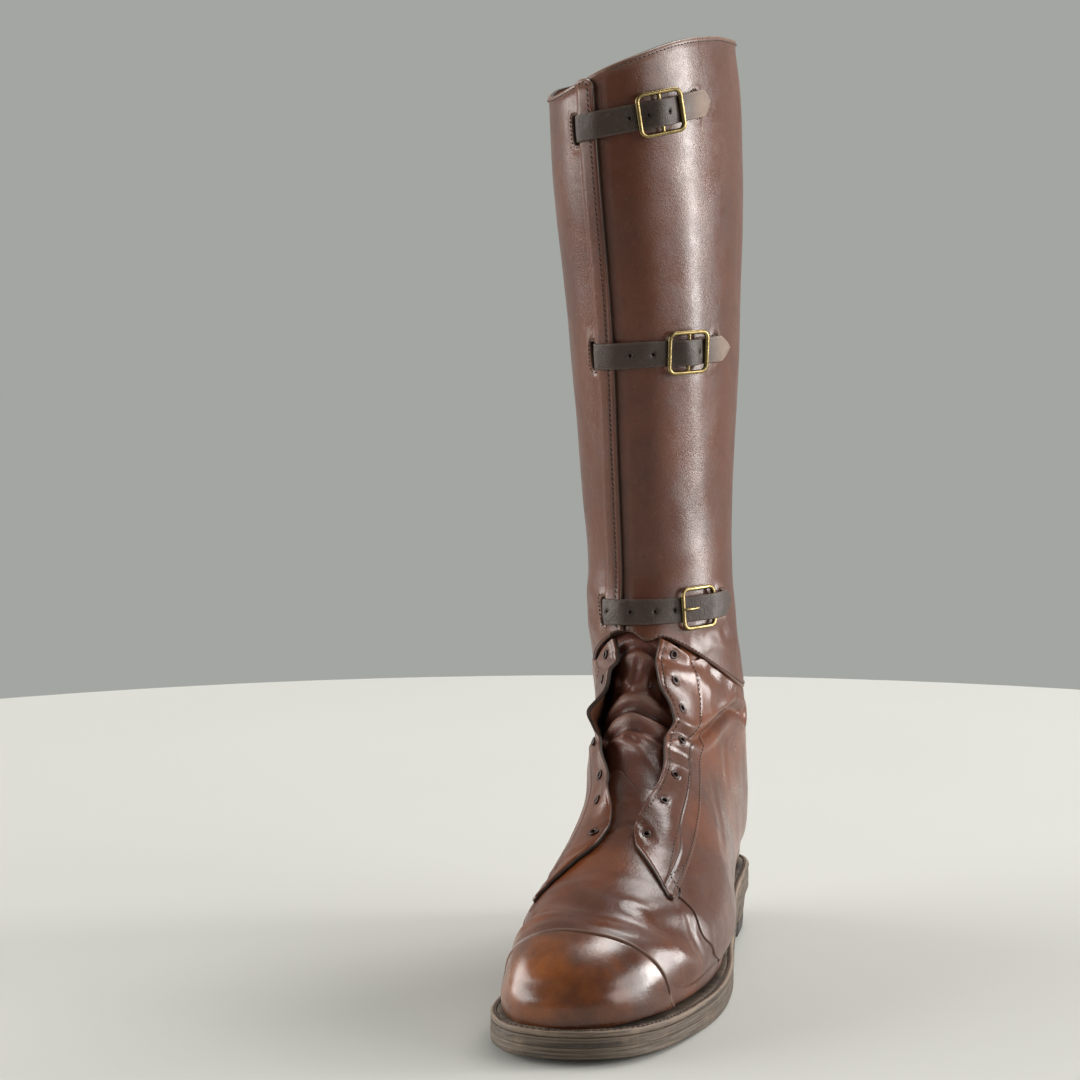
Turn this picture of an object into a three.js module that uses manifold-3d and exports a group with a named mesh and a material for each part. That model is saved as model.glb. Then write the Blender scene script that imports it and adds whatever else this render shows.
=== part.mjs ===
// A left riding boot with a strapped front, standing on its sole.
// Millimetres. Toe towards -Y, outer (lateral) side towards +X, +Z up.
// The origin is on the floor, under the middle of the heel.
import * as THREE from 'three';
import Module from 'manifold-3d';
import { mergeVertices } from 'three/addons/utils/BufferGeometryUtils.js';

const wasm = await Module();
wasm.setup();

// Driving sizes
const soleLength = 300;
const ballWidth = 94;
const heelHeight = 20;
const toeSpring = 3;
const ankleRise = 140;
const shaftRise = 280;
const wall = 2.2;
const clearance = 0.3;
const innerGap = 0.9;
const weltGap = 0.6;
const outsoleThick = 4.6;
const midsoleThick = 4.2;
const weltThick = 2.6;
const weltWidth = 13;
const topPieceThick = 6;
const insoleThick = 2.6;
const insoleSideGap = 1.2;
const lastingMargin = 9;
const feather = 5;
const edgeRound = 0.8;
const tongueThick = 1.8;
const shaftStep = 0.9;
const capStep = 0.8;
const slitWidth = 1.2;

const stack = outsoleThick + midsoleThick + weltThick + 2 * clearance + weltGap;

// Height of the sole's underside along the boot.
// y is a share of the sole's length; toe and heel are shares of toe spring and heel height.
const soleLine = {
  columns: ['y', 'toe', 'heel'],
  rows: [
    [-0.873, 1.0, 0], [-0.767, 0.4, 0], [-0.667, 0.1, 0], [-0.567, 0, 0], [-0.4, 0, 0],
    [-0.3, 0, 0.21], [-0.2, 0, 0.51], [-0.1, 0, 0.8], [0, 0, 0.95], [0.127, 0, 1.0],
  ],
};

// Outline of the sole: y is a share of the sole's length, the rest of the ball width.
const soleOutline = {
  columns: ['y', 'lateral', 'medial', 'centre'],
  rows: [
    [-0.885, 0, 0, -0.064], [-0.880, 0.11, 0.10, -0.064], [-0.868, 0.22, 0.20, -0.064],
    [-0.832, 0.355, 0.30, -0.062], [-0.757, 0.46, 0.40, -0.053], [-0.65, 0.52, 0.445, -0.032],
    [-0.55, 0.535, 0.46, -0.011], [-0.43, 0.505, 0.43, 0], [-0.317, 0.44, 0.38, 0.005],
    [-0.2, 0.38, 0.34, 0.01], [-0.1, 0.34, 0.33, 0.01], [0, 0.325, 0.335, 0.01],
    [0.067, 0.29, 0.30, 0.01], [0.107, 0.20, 0.21, 0.01], [0.123, 0.095, 0.10, 0.01],
    [0.127, 0, 0, 0.01],
  ],
};

// Sections of the upper, each a slanted loop from the front centre line to the back or underside.
// frontY and backY are shares of the sole's length. frontRise and backRise up to 1 are shares of
// the ankle's rise over the sole, and what is above 1 is a share of the shaft's rise.
// The rest are shares of the ball width, then where the loop is widest and its two roundnesses.
const upperSections = {
  columns: ['frontY', 'frontRise', 'backY', 'backRise', 'frontX', 'backX', 'lateral', 'medial',
    'widest', 'lowRound', 'highRound'],
  rows: [
    [-0.863, 0.048, -0.863, 0.008, -0.064, -0.064, 0.005, 0.005, 0.42, 2.3, 2.0],
    [-0.849, 0.146, -0.849, 0.004, -0.064, -0.064, 0.195, 0.165, 0.38, 2.6, 2.0],
    [-0.805, 0.226, -0.805, 0.002, -0.064, -0.064, 0.330, 0.262, 0.37, 2.8, 2.1],
    [-0.730, 0.292, -0.730, 0.001, -0.053, -0.053, 0.437, 0.335, 0.36, 3.1, 2.15],
    [-0.643, 0.347, -0.637, 0.001, -0.032, -0.032, 0.500, 0.383, 0.35, 3.3, 2.15],
    [-0.553, 0.420, -0.520, 0.001, -0.011, -0.011, 0.515, 0.399, 0.34, 3.4, 2.1],
    [-0.470, 0.524, -0.383, 0.001, 0.000, 0.011, 0.490, 0.394, 0.33, 3.2, 2.0],
    [-0.393, 0.639, -0.250, 0.001, -0.011, 0.011, 0.420, 0.362, 0.34, 3.0, 1.95],
    [-0.327, 0.749, -0.117, 0.001, -0.074, 0.011, 0.380, 0.351, 0.34, 2.8, 1.95],
    [-0.277, 0.844, 0.017, 0.001, -0.096, 0.011, 0.355, 0.345, 0.36, 2.6, 2.0],
    [-0.247, 0.924, 0.103, 0.006, -0.106, 0.011, 0.345, 0.347, 0.40, 2.6, 2.0],
    [-0.230, 0.988, 0.128, 0.176, -0.128, 0.005, 0.355, 0.351, 0.44, 2.3, 2.0],
    [-0.222, 1.031, 0.125, 0.427, -0.149, -0.011, 0.370, 0.362, 0.47, 2.15, 2.0],
    [-0.218, 1.077, 0.115, 0.698, -0.149, -0.032, 0.354, 0.380, 0.48, 2.1, 2.0],
    [-0.223, 1.135, 0.113, 0.984, -0.149, -0.074, 0.345, 0.357, 0.48, 2.1, 2.0],
    [-0.240, 1.268, 0.127, 1.177, -0.154, -0.096, 0.357, 0.382, 0.48, 2.15, 2.0],
    [-0.273, 1.507, 0.157, 1.445, -0.160, -0.128, 0.409, 0.426, 0.48, 2.15, 2.0],
    [-0.307, 1.728, 0.173, 1.688, -0.191, -0.160, 0.455, 0.457, 0.48, 2.15, 2.0],
    [-0.323, 1.874, 0.170, 1.885, -0.213, -0.170, 0.457, 0.463, 0.48, 2.15, 2.0],
    [-0.330, 1.964, 0.167, 1.999, -0.223, -0.181, 0.437, 0.452, 0.48, 2.15, 2.0],
    [-0.333, 2.054, 0.163, 2.092, -0.234, -0.191, 0.427, 0.447, 0.48, 2.15, 2.0],
  ],
};

// The collar's rim: turn is the share of the way from the front to the back, medial side negative.
const rimLine = {
  columns: ['turn', 'rise'],
  rows: [
    [-1, 1.972], [-0.75, 1.925], [-0.5, 1.905], [-0.25, 1.919], [-0.1, 1.951], [0, 1.975],
    [0.1, 1.992], [0.25, 2.008], [0.4, 2.000], [0.5, 1.988], [0.75, 1.986], [0.9, 1.996],
    [1, 1.972],
  ],
};

// Hermite interpolation of one column of a table, by row number or by its first column
function spline(xs, ys, x) {
  const last = xs.length - 1;
  let i = 0;
  while (i < last - 1 && x >= xs[i + 1]) i += 1;
  const slope = (k) => (ys[k + 1] - ys[k]) / (xs[k + 1] - xs[k]);
  const tangent = (k) => {
    if (k === 0) return slope(0);
    if (k === last) return slope(last - 1);
    const before = xs[k] - xs[k - 1];
    const after = xs[k + 1] - xs[k];
    return (before * slope(k) + after * slope(k - 1)) / (before + after);
  };
  const h = xs[i + 1] - xs[i];
  const t = (x - xs[i]) / h;
  return (2 * t ** 3 - 3 * t ** 2 + 1) * ys[i] + (t ** 3 - 2 * t ** 2 + t) * h * tangent(i)
    + (3 * t ** 2 - 2 * t ** 3) * ys[i + 1] + (t ** 3 - t ** 2) * h * tangent(i + 1);
}

function column(table, name) {
  const k = table.columns.indexOf(name);
  return table.rows.map((row) => row[k]);
}

function byFirst(table, name, x) {
  return spline(column(table, table.columns[0]), column(table, name), x);
}

const sectionColumns = upperSections.columns.map((name) => column(upperSections, name));
const stations = upperSections.rows.map((row, i) => i);
const topStation = stations.length - 1;

// The line that the sole's underside, and so everything above it, follows
function underside(y) {
  const share = THREE.MathUtils.clamp(y / soleLength, -0.873, 0.127);
  const line = byFirst(soleLine, 'toe', share) * toeSpring + byFirst(soleLine, 'heel', share) * heelHeight;
  return Math.max(line, 0);
}

function heightOf(y, rise) {
  const up = rise <= 1 ? rise * ankleRise : ankleRise + (rise - 1) * shaftRise;
  return underside(y) + stack + up;
}

const loops = new Map();

// One section's own sizes at a station
function sectionAt(station) {
  const key = Math.round(station * 1e6);
  if (loops.has(key)) return loops.get(key);
  const [frontY, frontRise, backY, backRise, frontX, backX, lateral, medial, widest, low, high] =
    sectionColumns.map((values) => spline(stations, values, station));
  const place = (x, y, rise) => (
    new THREE.Vector3(x * ballWidth, y * soleLength, heightOf(y * soleLength, rise)));
  const s = {
    front: place(frontX, frontY, frontRise),
    back: place(backX, backY, backRise),
    lateral: lateral * ballWidth,
    medial: medial * ballWidth,
    widest,
    low,
    high,
  };
  loops.set(key, s);
  return s;
}

// A point of the last's skin: turn runs from 0 at the front to 1 at the back on the lateral side,
// and to -1 at the back on the medial side
function skin(station, turn) {
  const s = sectionAt(station);
  const angle = turn * Math.PI;
  const c = -Math.cos(angle);
  const power = 2 / (c > 0 ? s.low : s.high);
  const out = Math.abs(Math.sin(angle)) ** power;
  const pull = Math.abs(c) ** power;
  const along = c > 0 ? s.widest * (1 - pull) : s.widest + (1 - s.widest) * pull;
  const half = turn >= 0 ? s.lateral : -s.medial;
  const p = s.back.clone().lerp(s.front, along);
  p.x += half * out;
  return p;
}

function skinNormal(station, turn) {
  const e = 1e-3;
  const across = skin(station, turn + e).sub(skin(station, turn - e));
  const up = skin(station + e, turn).sub(skin(station - e, turn));
  return across.cross(up).normalize();
}

function offSkin(station, turn, off) {
  return skin(station, turn).addScaledVector(skinNormal(station, turn), off);
}

// Turn for an arc length u from the front centre line, lateral positive
const girths = new Map();
const girthSteps = 96;

function turnOf(u, station) {
  const side = u >= 0 ? 1 : -1;
  const key = side * Math.round(station * 1e5);
  if (!girths.has(key)) {
    const sums = [0];
    let before = skin(station, 0);
    for (let i = 1; i <= girthSteps; i += 1) {
      const p = skin(station, side * i / girthSteps);
      sums.push(sums[i - 1] + p.distanceTo(before));
      before = p;
    }
    girths.set(key, sums);
  }
  const sums = girths.get(key);
  const length = Math.min(Math.abs(u), sums[girthSteps]);
  let i = 1;
  while (i < girthSteps && sums[i] < length) i += 1;
  return side * (i - 1 + (length - sums[i - 1]) / (sums[i] - sums[i - 1])) / girthSteps;
}

function at(u, station, off) {
  return offSkin(station, turnOf(u, station), off);
}

// Station on the line of one turn where the skin reaches a height
function stationAtHeight(turn, z) {
  let low = 6;
  let high = topStation;
  for (let i = 0; i < 30; i += 1) {
    const middle = (low + high) / 2;
    if (skin(middle, turn).z < z) low = middle;
    else high = middle;
  }
  return (low + high) / 2;
}

// Closed meshes

function meshFrom(points, triangles) {
  const geometry = new THREE.BufferGeometry();
  const flat = points.flatMap((p) => [p.x, p.y, p.z]);
  geometry.setAttribute('position', new THREE.Float32BufferAttribute(flat, 3));
  geometry.setIndex(outward(points, triangles).flat());
  return geometry;
}

function outward(points, triangles) {
  let volume = 0;
  for (const [a, b, c] of triangles) {
    volume += points[a].dot(new THREE.Vector3().crossVectors(points[b], points[c]));
  }
  return volume >= 0 ? triangles : triangles.map(([a, b, c]) => [a, c, b]);
}

// Bands of quads between rings of equal length, wrapped round
function bands(rings, count, closed) {
  const triangles = [];
  const last = closed ? rings : rings - 1;
  for (let r = 0; r < last; r += 1) {
    const next = (r + 1) % rings;
    for (let i = 0; i < count; i += 1) {
      const j = (i + 1) % count;
      const a = r * count + i;
      const b = r * count + j;
      const c = next * count + j;
      const d = next * count + i;
      triangles.push([a, b, c], [a, c, d]);
    }
  }
  return triangles;
}

// A solid between an inner and an outer sheet over a grid of places
function sheetSolid(rows, columns, inner, outer) {
  const points = [];
  for (const place of [outer, inner]) {
    for (let r = 0; r < rows; r += 1) {
      for (let c = 0; c < columns; c += 1) {
        points.push(place(r, c));
      }
    }
  }
  const size = rows * columns;
  const triangles = [];
  const quad = (a, b, c, d) => triangles.push([a, b, c], [a, c, d]);
  for (let r = 0; r < rows - 1; r += 1) {
    for (let c = 0; c < columns - 1; c += 1) {
      const a = r * columns + c;
      quad(a, a + 1, a + columns + 1, a + columns);
      quad(size + a, size + a + columns, size + a + columns + 1, size + a + 1);
    }
  }
  for (let c = 0; c < columns - 1; c += 1) {
    const end = (rows - 1) * columns + c;
    quad(c, size + c, size + c + 1, c + 1);
    quad(end, end + 1, size + end + 1, size + end);
  }
  for (let r = 0; r < rows - 1; r += 1) {
    const a = r * columns;
    const end = a + columns - 1;
    quad(a, a + columns, size + a + columns, size + a);
    quad(end, size + end, size + end + columns, end + columns);
  }
  return meshFrom(points, triangles);
}

function solidOf(geometry) {
  const bare = geometry.clone();
  bare.deleteAttribute('normal');
  bare.deleteAttribute('uv');
  const merged = mergeVertices(bare, 1e-4);
  return new wasm.Manifold(new wasm.Mesh({
    numProp: 3,
    vertProperties: new Float32Array(merged.attributes.position.array),
    triVerts: new Uint32Array(merged.index.array),
  }));
}

function geometryOf(solid) {
  const mesh = solid.getMesh();
  const geometry = new THREE.BufferGeometry();
  const count = mesh.vertProperties.length / mesh.numProp;
  const positions = new Float32Array(count * 3);
  for (let i = 0; i < count; i += 1) {
    for (let k = 0; k < 3; k += 1) positions[i * 3 + k] = mesh.vertProperties[i * mesh.numProp + k];
  }
  geometry.setAttribute('position', new THREE.BufferAttribute(positions, 3));
  geometry.setIndex(new THREE.BufferAttribute(new Uint32Array(mesh.triVerts), 1));
  return geometry;
}

// Sole layers

const outlineSteps = 22;
const outlineCount = 2 * outlineSteps;

function outlineLoop(inset) {
  const last = soleOutline.rows.length - 1;
  const keys = soleOutline.rows.map((row, i) => i);
  const value = (name, k) => spline(keys, column(soleOutline, name), k);
  const sides = [];
  for (const side of [1, -1]) {
    const half = [];
    for (let i = 0; i <= outlineSteps; i += 1) {
      const k = last * i / outlineSteps;
      const width = value(side > 0 ? 'lateral' : 'medial', k);
      const x = (value('centre', k) + side * Math.max(width, 0)) * ballWidth;
      half.push(new THREE.Vector2(x, value('y', k) * soleLength));
    }
    sides.push(half);
  }
  const loop = [...sides[0], ...sides[1].slice(1, -1).reverse()];
  return loop.map((p, i) => {
    const before = loop[(i + loop.length - 1) % loop.length];
    const after = loop[(i + 1) % loop.length];
    const along = after.clone().sub(before).normalize();
    return new THREE.Vector2(p.x - along.y * inset, p.y + along.x * inset);
  });
}

// Caps a loop with strips from its lateral to its medial points
function capStrips(start, count) {
  const triangles = [];
  const half = count / 2;
  for (let i = 0; i < half; i += 1) {
    const a = start + i;
    const b = start + i + 1;
    const c = start + (count - i - 1);
    const d = start + (count - i) % count;
    if (i < half - 1) triangles.push([a, b, c]);
    if (i > 0) triangles.push([a, c, d]);
    if (i === half - 1 && i === 0) triangles.push([a, b, d]);
  }
  return triangles;
}

// levels: how far each ring is inset from the outline, and its height at a point
function layer(levels, hollow = false) {
  const points = levels.flatMap(({ inset, height }) => outlineLoop(inset).map(
    (p) => new THREE.Vector3(p.x, p.y, height(p.y)),
  ));
  const triangles = bands(levels.length, outlineCount, hollow);
  if (!hollow) {
    const top = (levels.length - 1) * outlineCount;
    triangles.push(...capStrips(0, outlineCount).map(([a, b, c]) => [a, c, b]));
    triangles.push(...capStrips(top, outlineCount));
  }
  return meshFrom(points, triangles);
}

function solePlate(bottom, thick, inset) {
  const height = (up) => (y) => underside(y) + bottom + up;
  return layer([
    { inset: inset + edgeRound, height: height(0) },
    { inset, height: height(edgeRound) },
    { inset, height: height(thick - edgeRound) },
    { inset: inset + edgeRound, height: height(thick) },
  ]);
}

function outsole() {
  return solePlate(0, outsoleThick, 0);
}

function midsole() {
  return solePlate(outsoleThick + clearance, midsoleThick, 0);
}

function welt() {
  const bottom = outsoleThick + midsoleThick + 2 * clearance;
  const height = (up) => (y) => underside(y) + bottom + up;
  return layer([
    { inset: 0, height: height(0) },
    { inset: 0, height: height(weltThick - edgeRound) },
    { inset: edgeRound, height: height(weltThick) },
    { inset: weltWidth, height: height(weltThick) },
    { inset: weltWidth, height: height(0) },
  ], true);
}

const materials = {
  upper: { color: 0x6b3b2a, roughness: 0.42, metalness: 0 },
  sole: { color: 0x5b4534, roughness: 0.7, metalness: 0 },
  tongue: { color: 0x70382a, roughness: 0.5, metalness: 0 },
  insole: { color: 0x9a7350, roughness: 0.8, metalness: 0 },
  strap: { color: 0x4a332b, roughness: 0.6, metalness: 0 },
  brass: { color: 0xb8964a, roughness: 0.3, metalness: 1 },
  webbing: { color: 0xb07a4a, roughness: 0.8, metalness: 0 },
};

const heelBreast = -0.075;
const heelInset = 1.2;
const heelTaper = 2;
const heelCentre = 0.01;

// A heel layer between two heights: the sole's outline behind a straight breast
function heelLayer(low, high, insetLow, insetHigh) {
  const breast = heelBreast * soleLength;
  const ring = (inset) => {
    const loop = outlineLoop(inset);
    const kept = loop.filter((p) => p.y > breast);
    const lateral = kept.filter((p) => p.x > heelCentre * ballWidth);
    const medial = kept.filter((p) => p.x <= heelCentre * ballWidth);
    const sideX = (half) => half.reduce((best, p) => (p.y < best.y ? p : best), half[0]).x;
    return [
      new THREE.Vector2(sideX(lateral), breast),
      ...kept,
      new THREE.Vector2(sideX(medial), breast),
    ];
  };
  const lower = ring(insetLow);
  const upper = ring(insetHigh);
  const points = [
    ...lower.map((p) => new THREE.Vector3(p.x, p.y, low(p.y))),
    ...upper.map((p) => new THREE.Vector3(p.x, p.y, high(p.y))),
  ];
  const count = lower.length;
  const triangles = bands(2, count, false);
  for (const start of [0, count]) {
    for (let i = 0; i < Math.ceil(count / 2) - 1; i += 1) {
      const a = start + i;
      const b = start + i + 1;
      const c = start + count - 2 - i;
      const d = start + count - 1 - i;
      const faces = b === c ? [[a, b, d]] : [[a, b, c], [a, c, d]];
      triangles.push(...(start === 0 ? faces.map(([e, f, g]) => [e, g, f]) : faces));
    }
  }
  return meshFrom(points, triangles);
}

function heelTopPiece() {
  return heelLayer(() => 0, () => topPieceThick, heelInset + heelTaper, heelInset + heelTaper * 0.8);
}

function heelLifts() {
  const under = (y) => underside(y) - clearance;
  return heelLayer(() => topPieceThick + clearance, under, heelInset + heelTaper * 0.8, heelInset);
}

// The upper

const shellTurns = 36;

function turnsRound() {
  return Array.from({ length: shellTurns }, (v, i) => -1 + 2 * i / shellTurns);
}

function rimStation(turn) {
  const y = skin(topStation - 1, turn).y;
  return stationAtHeight(turn, heightOf(y, byFirst(rimLine, 'rise', turn)));
}

// Where the shaft's leather ends over the foot's
const shaftEdgeFront = 11.1;
const shaftEdgeBack = 13.6;

function shaftEdgeStation(turn) {
  return shaftEdgeFront + (shaftEdgeBack - shaftEdgeFront) * Math.abs(turn) ** 1.6;
}

const capSeamStation = 2.62;
const footStations = [0.35, 0.8, 1.4, 2.0];
const vampShares = [0.08, 0.18, 0.29, 0.4, 0.5, 0.59, 0.66, 0.71, 0.76, 0.82, 0.91];
const shaftShares = [0.08, 0.2, 0.36, 0.56, 0.76, 0.9, 1];
const sharpStep = 0.03;

// Rows of the upper's skin from the toe to the rim: each gives a station for a turn, and how far
// the leather stands off there
function skinRows() {
  const between = (low, high, share) => (turn) => low(turn) + (high(turn) - low(turn)) * share;
  const seam = () => capSeamStation;
  return [
    ...footStations.map((s) => ({ station: () => s, off: capStep })),
    { station: seam, off: capStep },
    { station: () => capSeamStation + sharpStep, off: 0 },
    ...vampShares.map((share) => ({ station: between(seam, shaftEdgeStation, share), off: 0 })),
    { station: (turn) => shaftEdgeStation(turn) - sharpStep, off: 0 },
    ...[0, ...shaftShares].map((share) => (
      { station: between(shaftEdgeStation, rimStation, share), off: shaftStep })),
  ];
}

function loft(rows, turns) {
  const points = [];
  for (const row of rows) {
    for (const turn of turns) points.push(offSkin(row.station(turn), turn, row.off));
  }
  const count = turns.length;
  const triangles = bands(rows.length, count, false);
  for (const end of [0, rows.length - 1]) {
    const centre = new THREE.Vector3();
    for (let i = 0; i < count; i += 1) centre.add(points[end * count + i]);
    points.push(centre.divideScalar(count));
    for (let i = 0; i < count; i += 1) {
      const a = end * count + i;
      const b = end * count + (i + 1) % count;
      triangles.push(end === 0 ? [a, points.length - 1, b] : [a, b, points.length - 1]);
    }
  }
  return meshFrom(points, triangles);
}

// The room inside the upper, drawn in by a thickness, from a first station to above the rim
function innerRows(depth, first) {
  const rows = skinRows().filter((row) => row.station(0) > first + 0.2).slice(0, -1);
  return [
    { station: () => first, off: -depth },
    ...rows.map((row) => ({ station: row.station, off: -depth })),
    { station: () => topStation, off: -depth },
  ];
}

function lastSolid(depth, first = 0.8) {
  return solidOf(loft(innerRows(depth, first), turnsRound()));
}

// The outline within which the upper is open underneath
function bottomCutter() {
  const inset = feather + lastingMargin;
  const height = (up) => (y) => underside(y) + stack + up;
  return solidOf(layer([
    { inset, height: height(-4) },
    { inset, height: height(wall + 3) },
  ]));
}

// A closed block through the wall over a run of stations, between two lines of u
function wallCutter(from, to, steps, medialEdge, lateralEdge, depth = 6) {
  const across = 5;
  const place = (off) => (r, c) => {
    const station = from + (to - from) * r / steps;
    const left = medialEdge(station);
    const right = lateralEdge(station);
    return at(left + (right - left) * c / across, station, off);
  };
  return solidOf(sheetSolid(steps + 1, across + 1, place(-depth), place(depth)));
}

// The throat and its facings: u lengths from the front centre line as shares of the ball width.
// edge is the facing's free front edge, throat the edge of the opening under it, back its sewn edge.
const throatLine = {
  columns: ['station', 'edge', 'throat', 'back'],
  rows: [
    [5.35, 0.055, 0.14, 0.30], [6.0, 0.07, 0.19, 0.27], [6.6, 0.11, 0.215, 0.27],
    [7.1, 0.13, 0.24, 0.28], [7.7, 0.15, 0.285, 0.315], [8.25, 0.20, 0.33, 0.36],
    [8.7, 0.165, 0.345, 0.40], [9.1, 0.115, 0.30, 0.42], [9.6, 0.095, 0.26, 0.41],
    [10.2, 0.10, 0.25, 0.37], [10.95, 0.12, 0.25, 0.34],
  ],
};
const throatLow = 5.6;
const throatHigh = 10.95;
const throatBottomShare = 0.3;

// Straps, from the top of the boot down. rise is a share of the shaft's rise at the slot and at the
// tip; buckle, chape and tip are u lengths from the front centre line as shares of the ball width.
// bars says where the strap's bar is in its buckle.
const strapTable = {
  columns: ['name', 'slotRise', 'tipRise', 'buckle', 'chape', 'tip', 'bars'],
  rows: [
    ['top', 1.851, 1.902, 0.26, 0.53, 0.62, 'middle'],
    ['middle', 1.471, 1.483, 0.325, 0.59, 0.70, 'middle'],
    ['bottom', 1.024, 1.032, 0.375, 0.61, 0.71, 'end'],
  ],
};
const strapRows = strapTable.rows.map((row) => (
  Object.fromEntries(strapTable.columns.map((name, k) => [name, row[k]]))));
const strapWidth = 12.5;
const strapThick = 1.5;
const strapGap = 0.45;
const strapTail = 8;
const slotU = -17;
const slotHalf = 2.4;
const chapeWidth = 10.5;
const chapeThick = 1.2;
const barRadius = 1.1;
const middleBarRadius = 0.9;
const buckleHalf = 10.5;
const buckleHalfHigh = 9.6;
const buckleCorner = 3;
const slitU = -12;
const flyEdgeU = -5;
const flyGap = 0.4;
const flyThick = 2.1;
const facingThick = 1.8;
const facingGap = 0.8;
const eyeletRadius = 1.4;

const ankleY = -0.22;
const ankleLevel = underside(ankleY * soleLength) + stack + ankleRise;
const ankleStation = 12;
const shaftStations = 7.5;
const lowestStrapStation = 9;
const stationStep = 0.05;

// A place on the skin by u and height: the station is found by a few steps from a first guess
function placeAt(u, z, off) {
  let station = ankleStation + shaftStations * (z - ankleLevel) / shaftRise;
  for (let i = 0; i < 6; i += 1) {
    const here = skin(station, turnOf(u, station)).z;
    const next = skin(station + stationStep, turnOf(u, station + stationStep)).z;
    station += THREE.MathUtils.clamp((z - here) * stationStep / (next - here), -2, 2);
    station = THREE.MathUtils.clamp(station, lowestStrapStation, topStation);
  }
  return at(u, station, off);
}

function strapHeight(strap, u) {
  const share = (u - slotU) / (strap.tip * ballWidth - slotU);
  const rise = strap.slotRise + (strap.tipRise - strap.slotRise) * share;
  return ankleLevel + (rise - 1) * shaftRise;
}

function slotCutter(strap, u, halfU, halfZ, depth) {
  const place = (off) => (r, c) => {
    const x = u + halfU * (c - 1);
    return placeAt(x, strapHeight(strap, u) + halfZ * (r - 1), off);
  };
  return solidOf(sheetSolid(3, 3, place(-depth), place(depth)));
}

const flyStation = 15;
const flyEndGap = 0.12;

// The edge of the medial shaft panel, raised over the slit and lapped over the lateral panel
function flyFlap() {
  const profile = [
    [slitU - 3, -0.6, shaftStep - 0.05], [slitU - 1.8, -0.6, 2.2], [slitU - 0.8, -0.6, 3.2],
    [slitU - 0.5, shaftStep + flyGap, shaftStep + flyGap + flyThick],
    [slitU + 1, shaftStep + flyGap, shaftStep + flyGap + flyThick],
    [(slitU + flyEdgeU) / 2, shaftStep + flyGap, shaftStep + flyGap + flyThick],
    [flyEdgeU, shaftStep + flyGap, shaftStep + flyGap + flyThick],
  ];
  const rows = 18;
  const place = (k) => (r, c) => {
    const low = shaftEdgeFront + flyEndGap;
    const turn = turnOf(profile[c][0], flyStation);
    const corner = c === profile.length - 1 ? flyEndGap : 0;
    const high = rimStation(turn) - 0.04 - corner;
    return at(profile[c][0], low + (high - low) * r / (rows - 1), profile[c][k]);
  };
  return solidOf(sheetSolid(rows, profile.length, place(1), place(2)));
}

const slotRoom = 0.8;
const slotDepth = 5;

function upper() {
  const lowest = throatLine.rows[0][0];
  const edge = (s) => byFirst(throatLine, 'throat', Math.max(s, lowest)) * ballWidth;
  const half = (s) => edge(s) * Math.min(1, throatBottomShare + (s - throatLow) * 1.2);
  let solid = solidOf(loft(skinRows(), turnsRound()));
  solid = solid.subtract(lastSolid(wall)).subtract(bottomCutter());
  solid = solid.subtract(wallCutter(throatLow, throatHigh, 10, (s) => -half(s), half));
  const slitEdge = (side) => () => slitU + side * slitWidth / 2;
  solid = solid.subtract(wallCutter(throatHigh - 0.1, topStation, 20, slitEdge(-1), slitEdge(1)));
  solid = solid.add(flyFlap());
  for (const strap of strapRows) {
    const chapeU = strap.chape * ballWidth;
    const strapHalf = strapWidth / 2 + slotRoom;
    const chapeHalf = chapeWidth / 2 + slotRoom;
    solid = solid.subtract(slotCutter(strap, slotU, slotHalf, strapHalf, slotDepth));
    solid = solid.subtract(slotCutter(strap, chapeU, slotHalf, chapeHalf, slotDepth));
  }
  return geometryOf(solid);
}

// A facing: side is 1 for the lateral and -1 for the medial one. Its free edge curls off the foot.
const facingCurl = { 1: 3.2, '-1': 7.5 };
const curlShare = 0.6;
const facingDrop = 0.85;
const eyeletInset = 0.62;
const eyeletStations = [5.72, 6.38, 7.08, 8.02, 8.85, 9.5, 10.5];

function facingPlace(side, station, share, off) {
  const clamped = Math.max(station, throatLine.rows[0][0]);
  const front = byFirst(throatLine, 'edge', clamped) * ballWidth;
  const back = byFirst(throatLine, 'back', clamped) * ballWidth;
  const run = (station - throatLine.rows[0][0]) / (throatHigh - throatLine.rows[0][0]);
  const rise = Math.sin(Math.PI * Math.min(1, Math.max(0, run) * 1.15));
  const wave = rise * (0.8 + 0.2 * Math.cos(9 * run));
  const curl = facingCurl[side] * Math.max(0, 1 - share / curlShare) ** 2 * wave;
  const drop = facingDrop * share * Math.max(0, 1 - run * 5);
  return at(side * (front + (back - front) * share), station - drop, off + curl);
}

function facing(side) {
  const rows = 15;
  const columns = 6;
  const low = throatLine.rows[0][0];
  const high = throatHigh - 0.12;
  const place = (off) => (r, c) => (
    facingPlace(side, low + (high - low) * r / (rows - 1), c / (columns - 1), off));
  let solid = solidOf(sheetSolid(rows, columns, place(facingGap), place(facingGap + facingThick)));
  for (const station of eyeletStations) {
    const share = eyeletShare(station);
    const foot = facingPlace(side, station, share, -2);
    const tip = facingPlace(side, station, share, 5);
    solid = solid.subtract(solidOf(rod(foot, tip, eyeletRadius, 8)));
  }
  return geometryOf(solid);
}

// The eyelets sit part of the way from the free edge to the throat's edge under the facing
function eyeletShare(station) {
  const value = (name) => byFirst(throatLine, name, station);
  return eyeletInset * (value('throat') - value('edge')) / (value('back') - value('edge'));
}

function rod(from, to, radius, sides) {
  const along = to.clone().sub(from);
  const geometry = new THREE.CylinderGeometry(radius, radius, along.length(), sides);
  geometry.translate(0, along.length() / 2, 0);
  const upright = new THREE.Vector3(0, 1, 0);
  const turn = new THREE.Quaternion().setFromUnitVectors(upright, along.normalize());
  return geometry.applyQuaternion(turn).translate(from.x, from.y, from.z);
}

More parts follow.
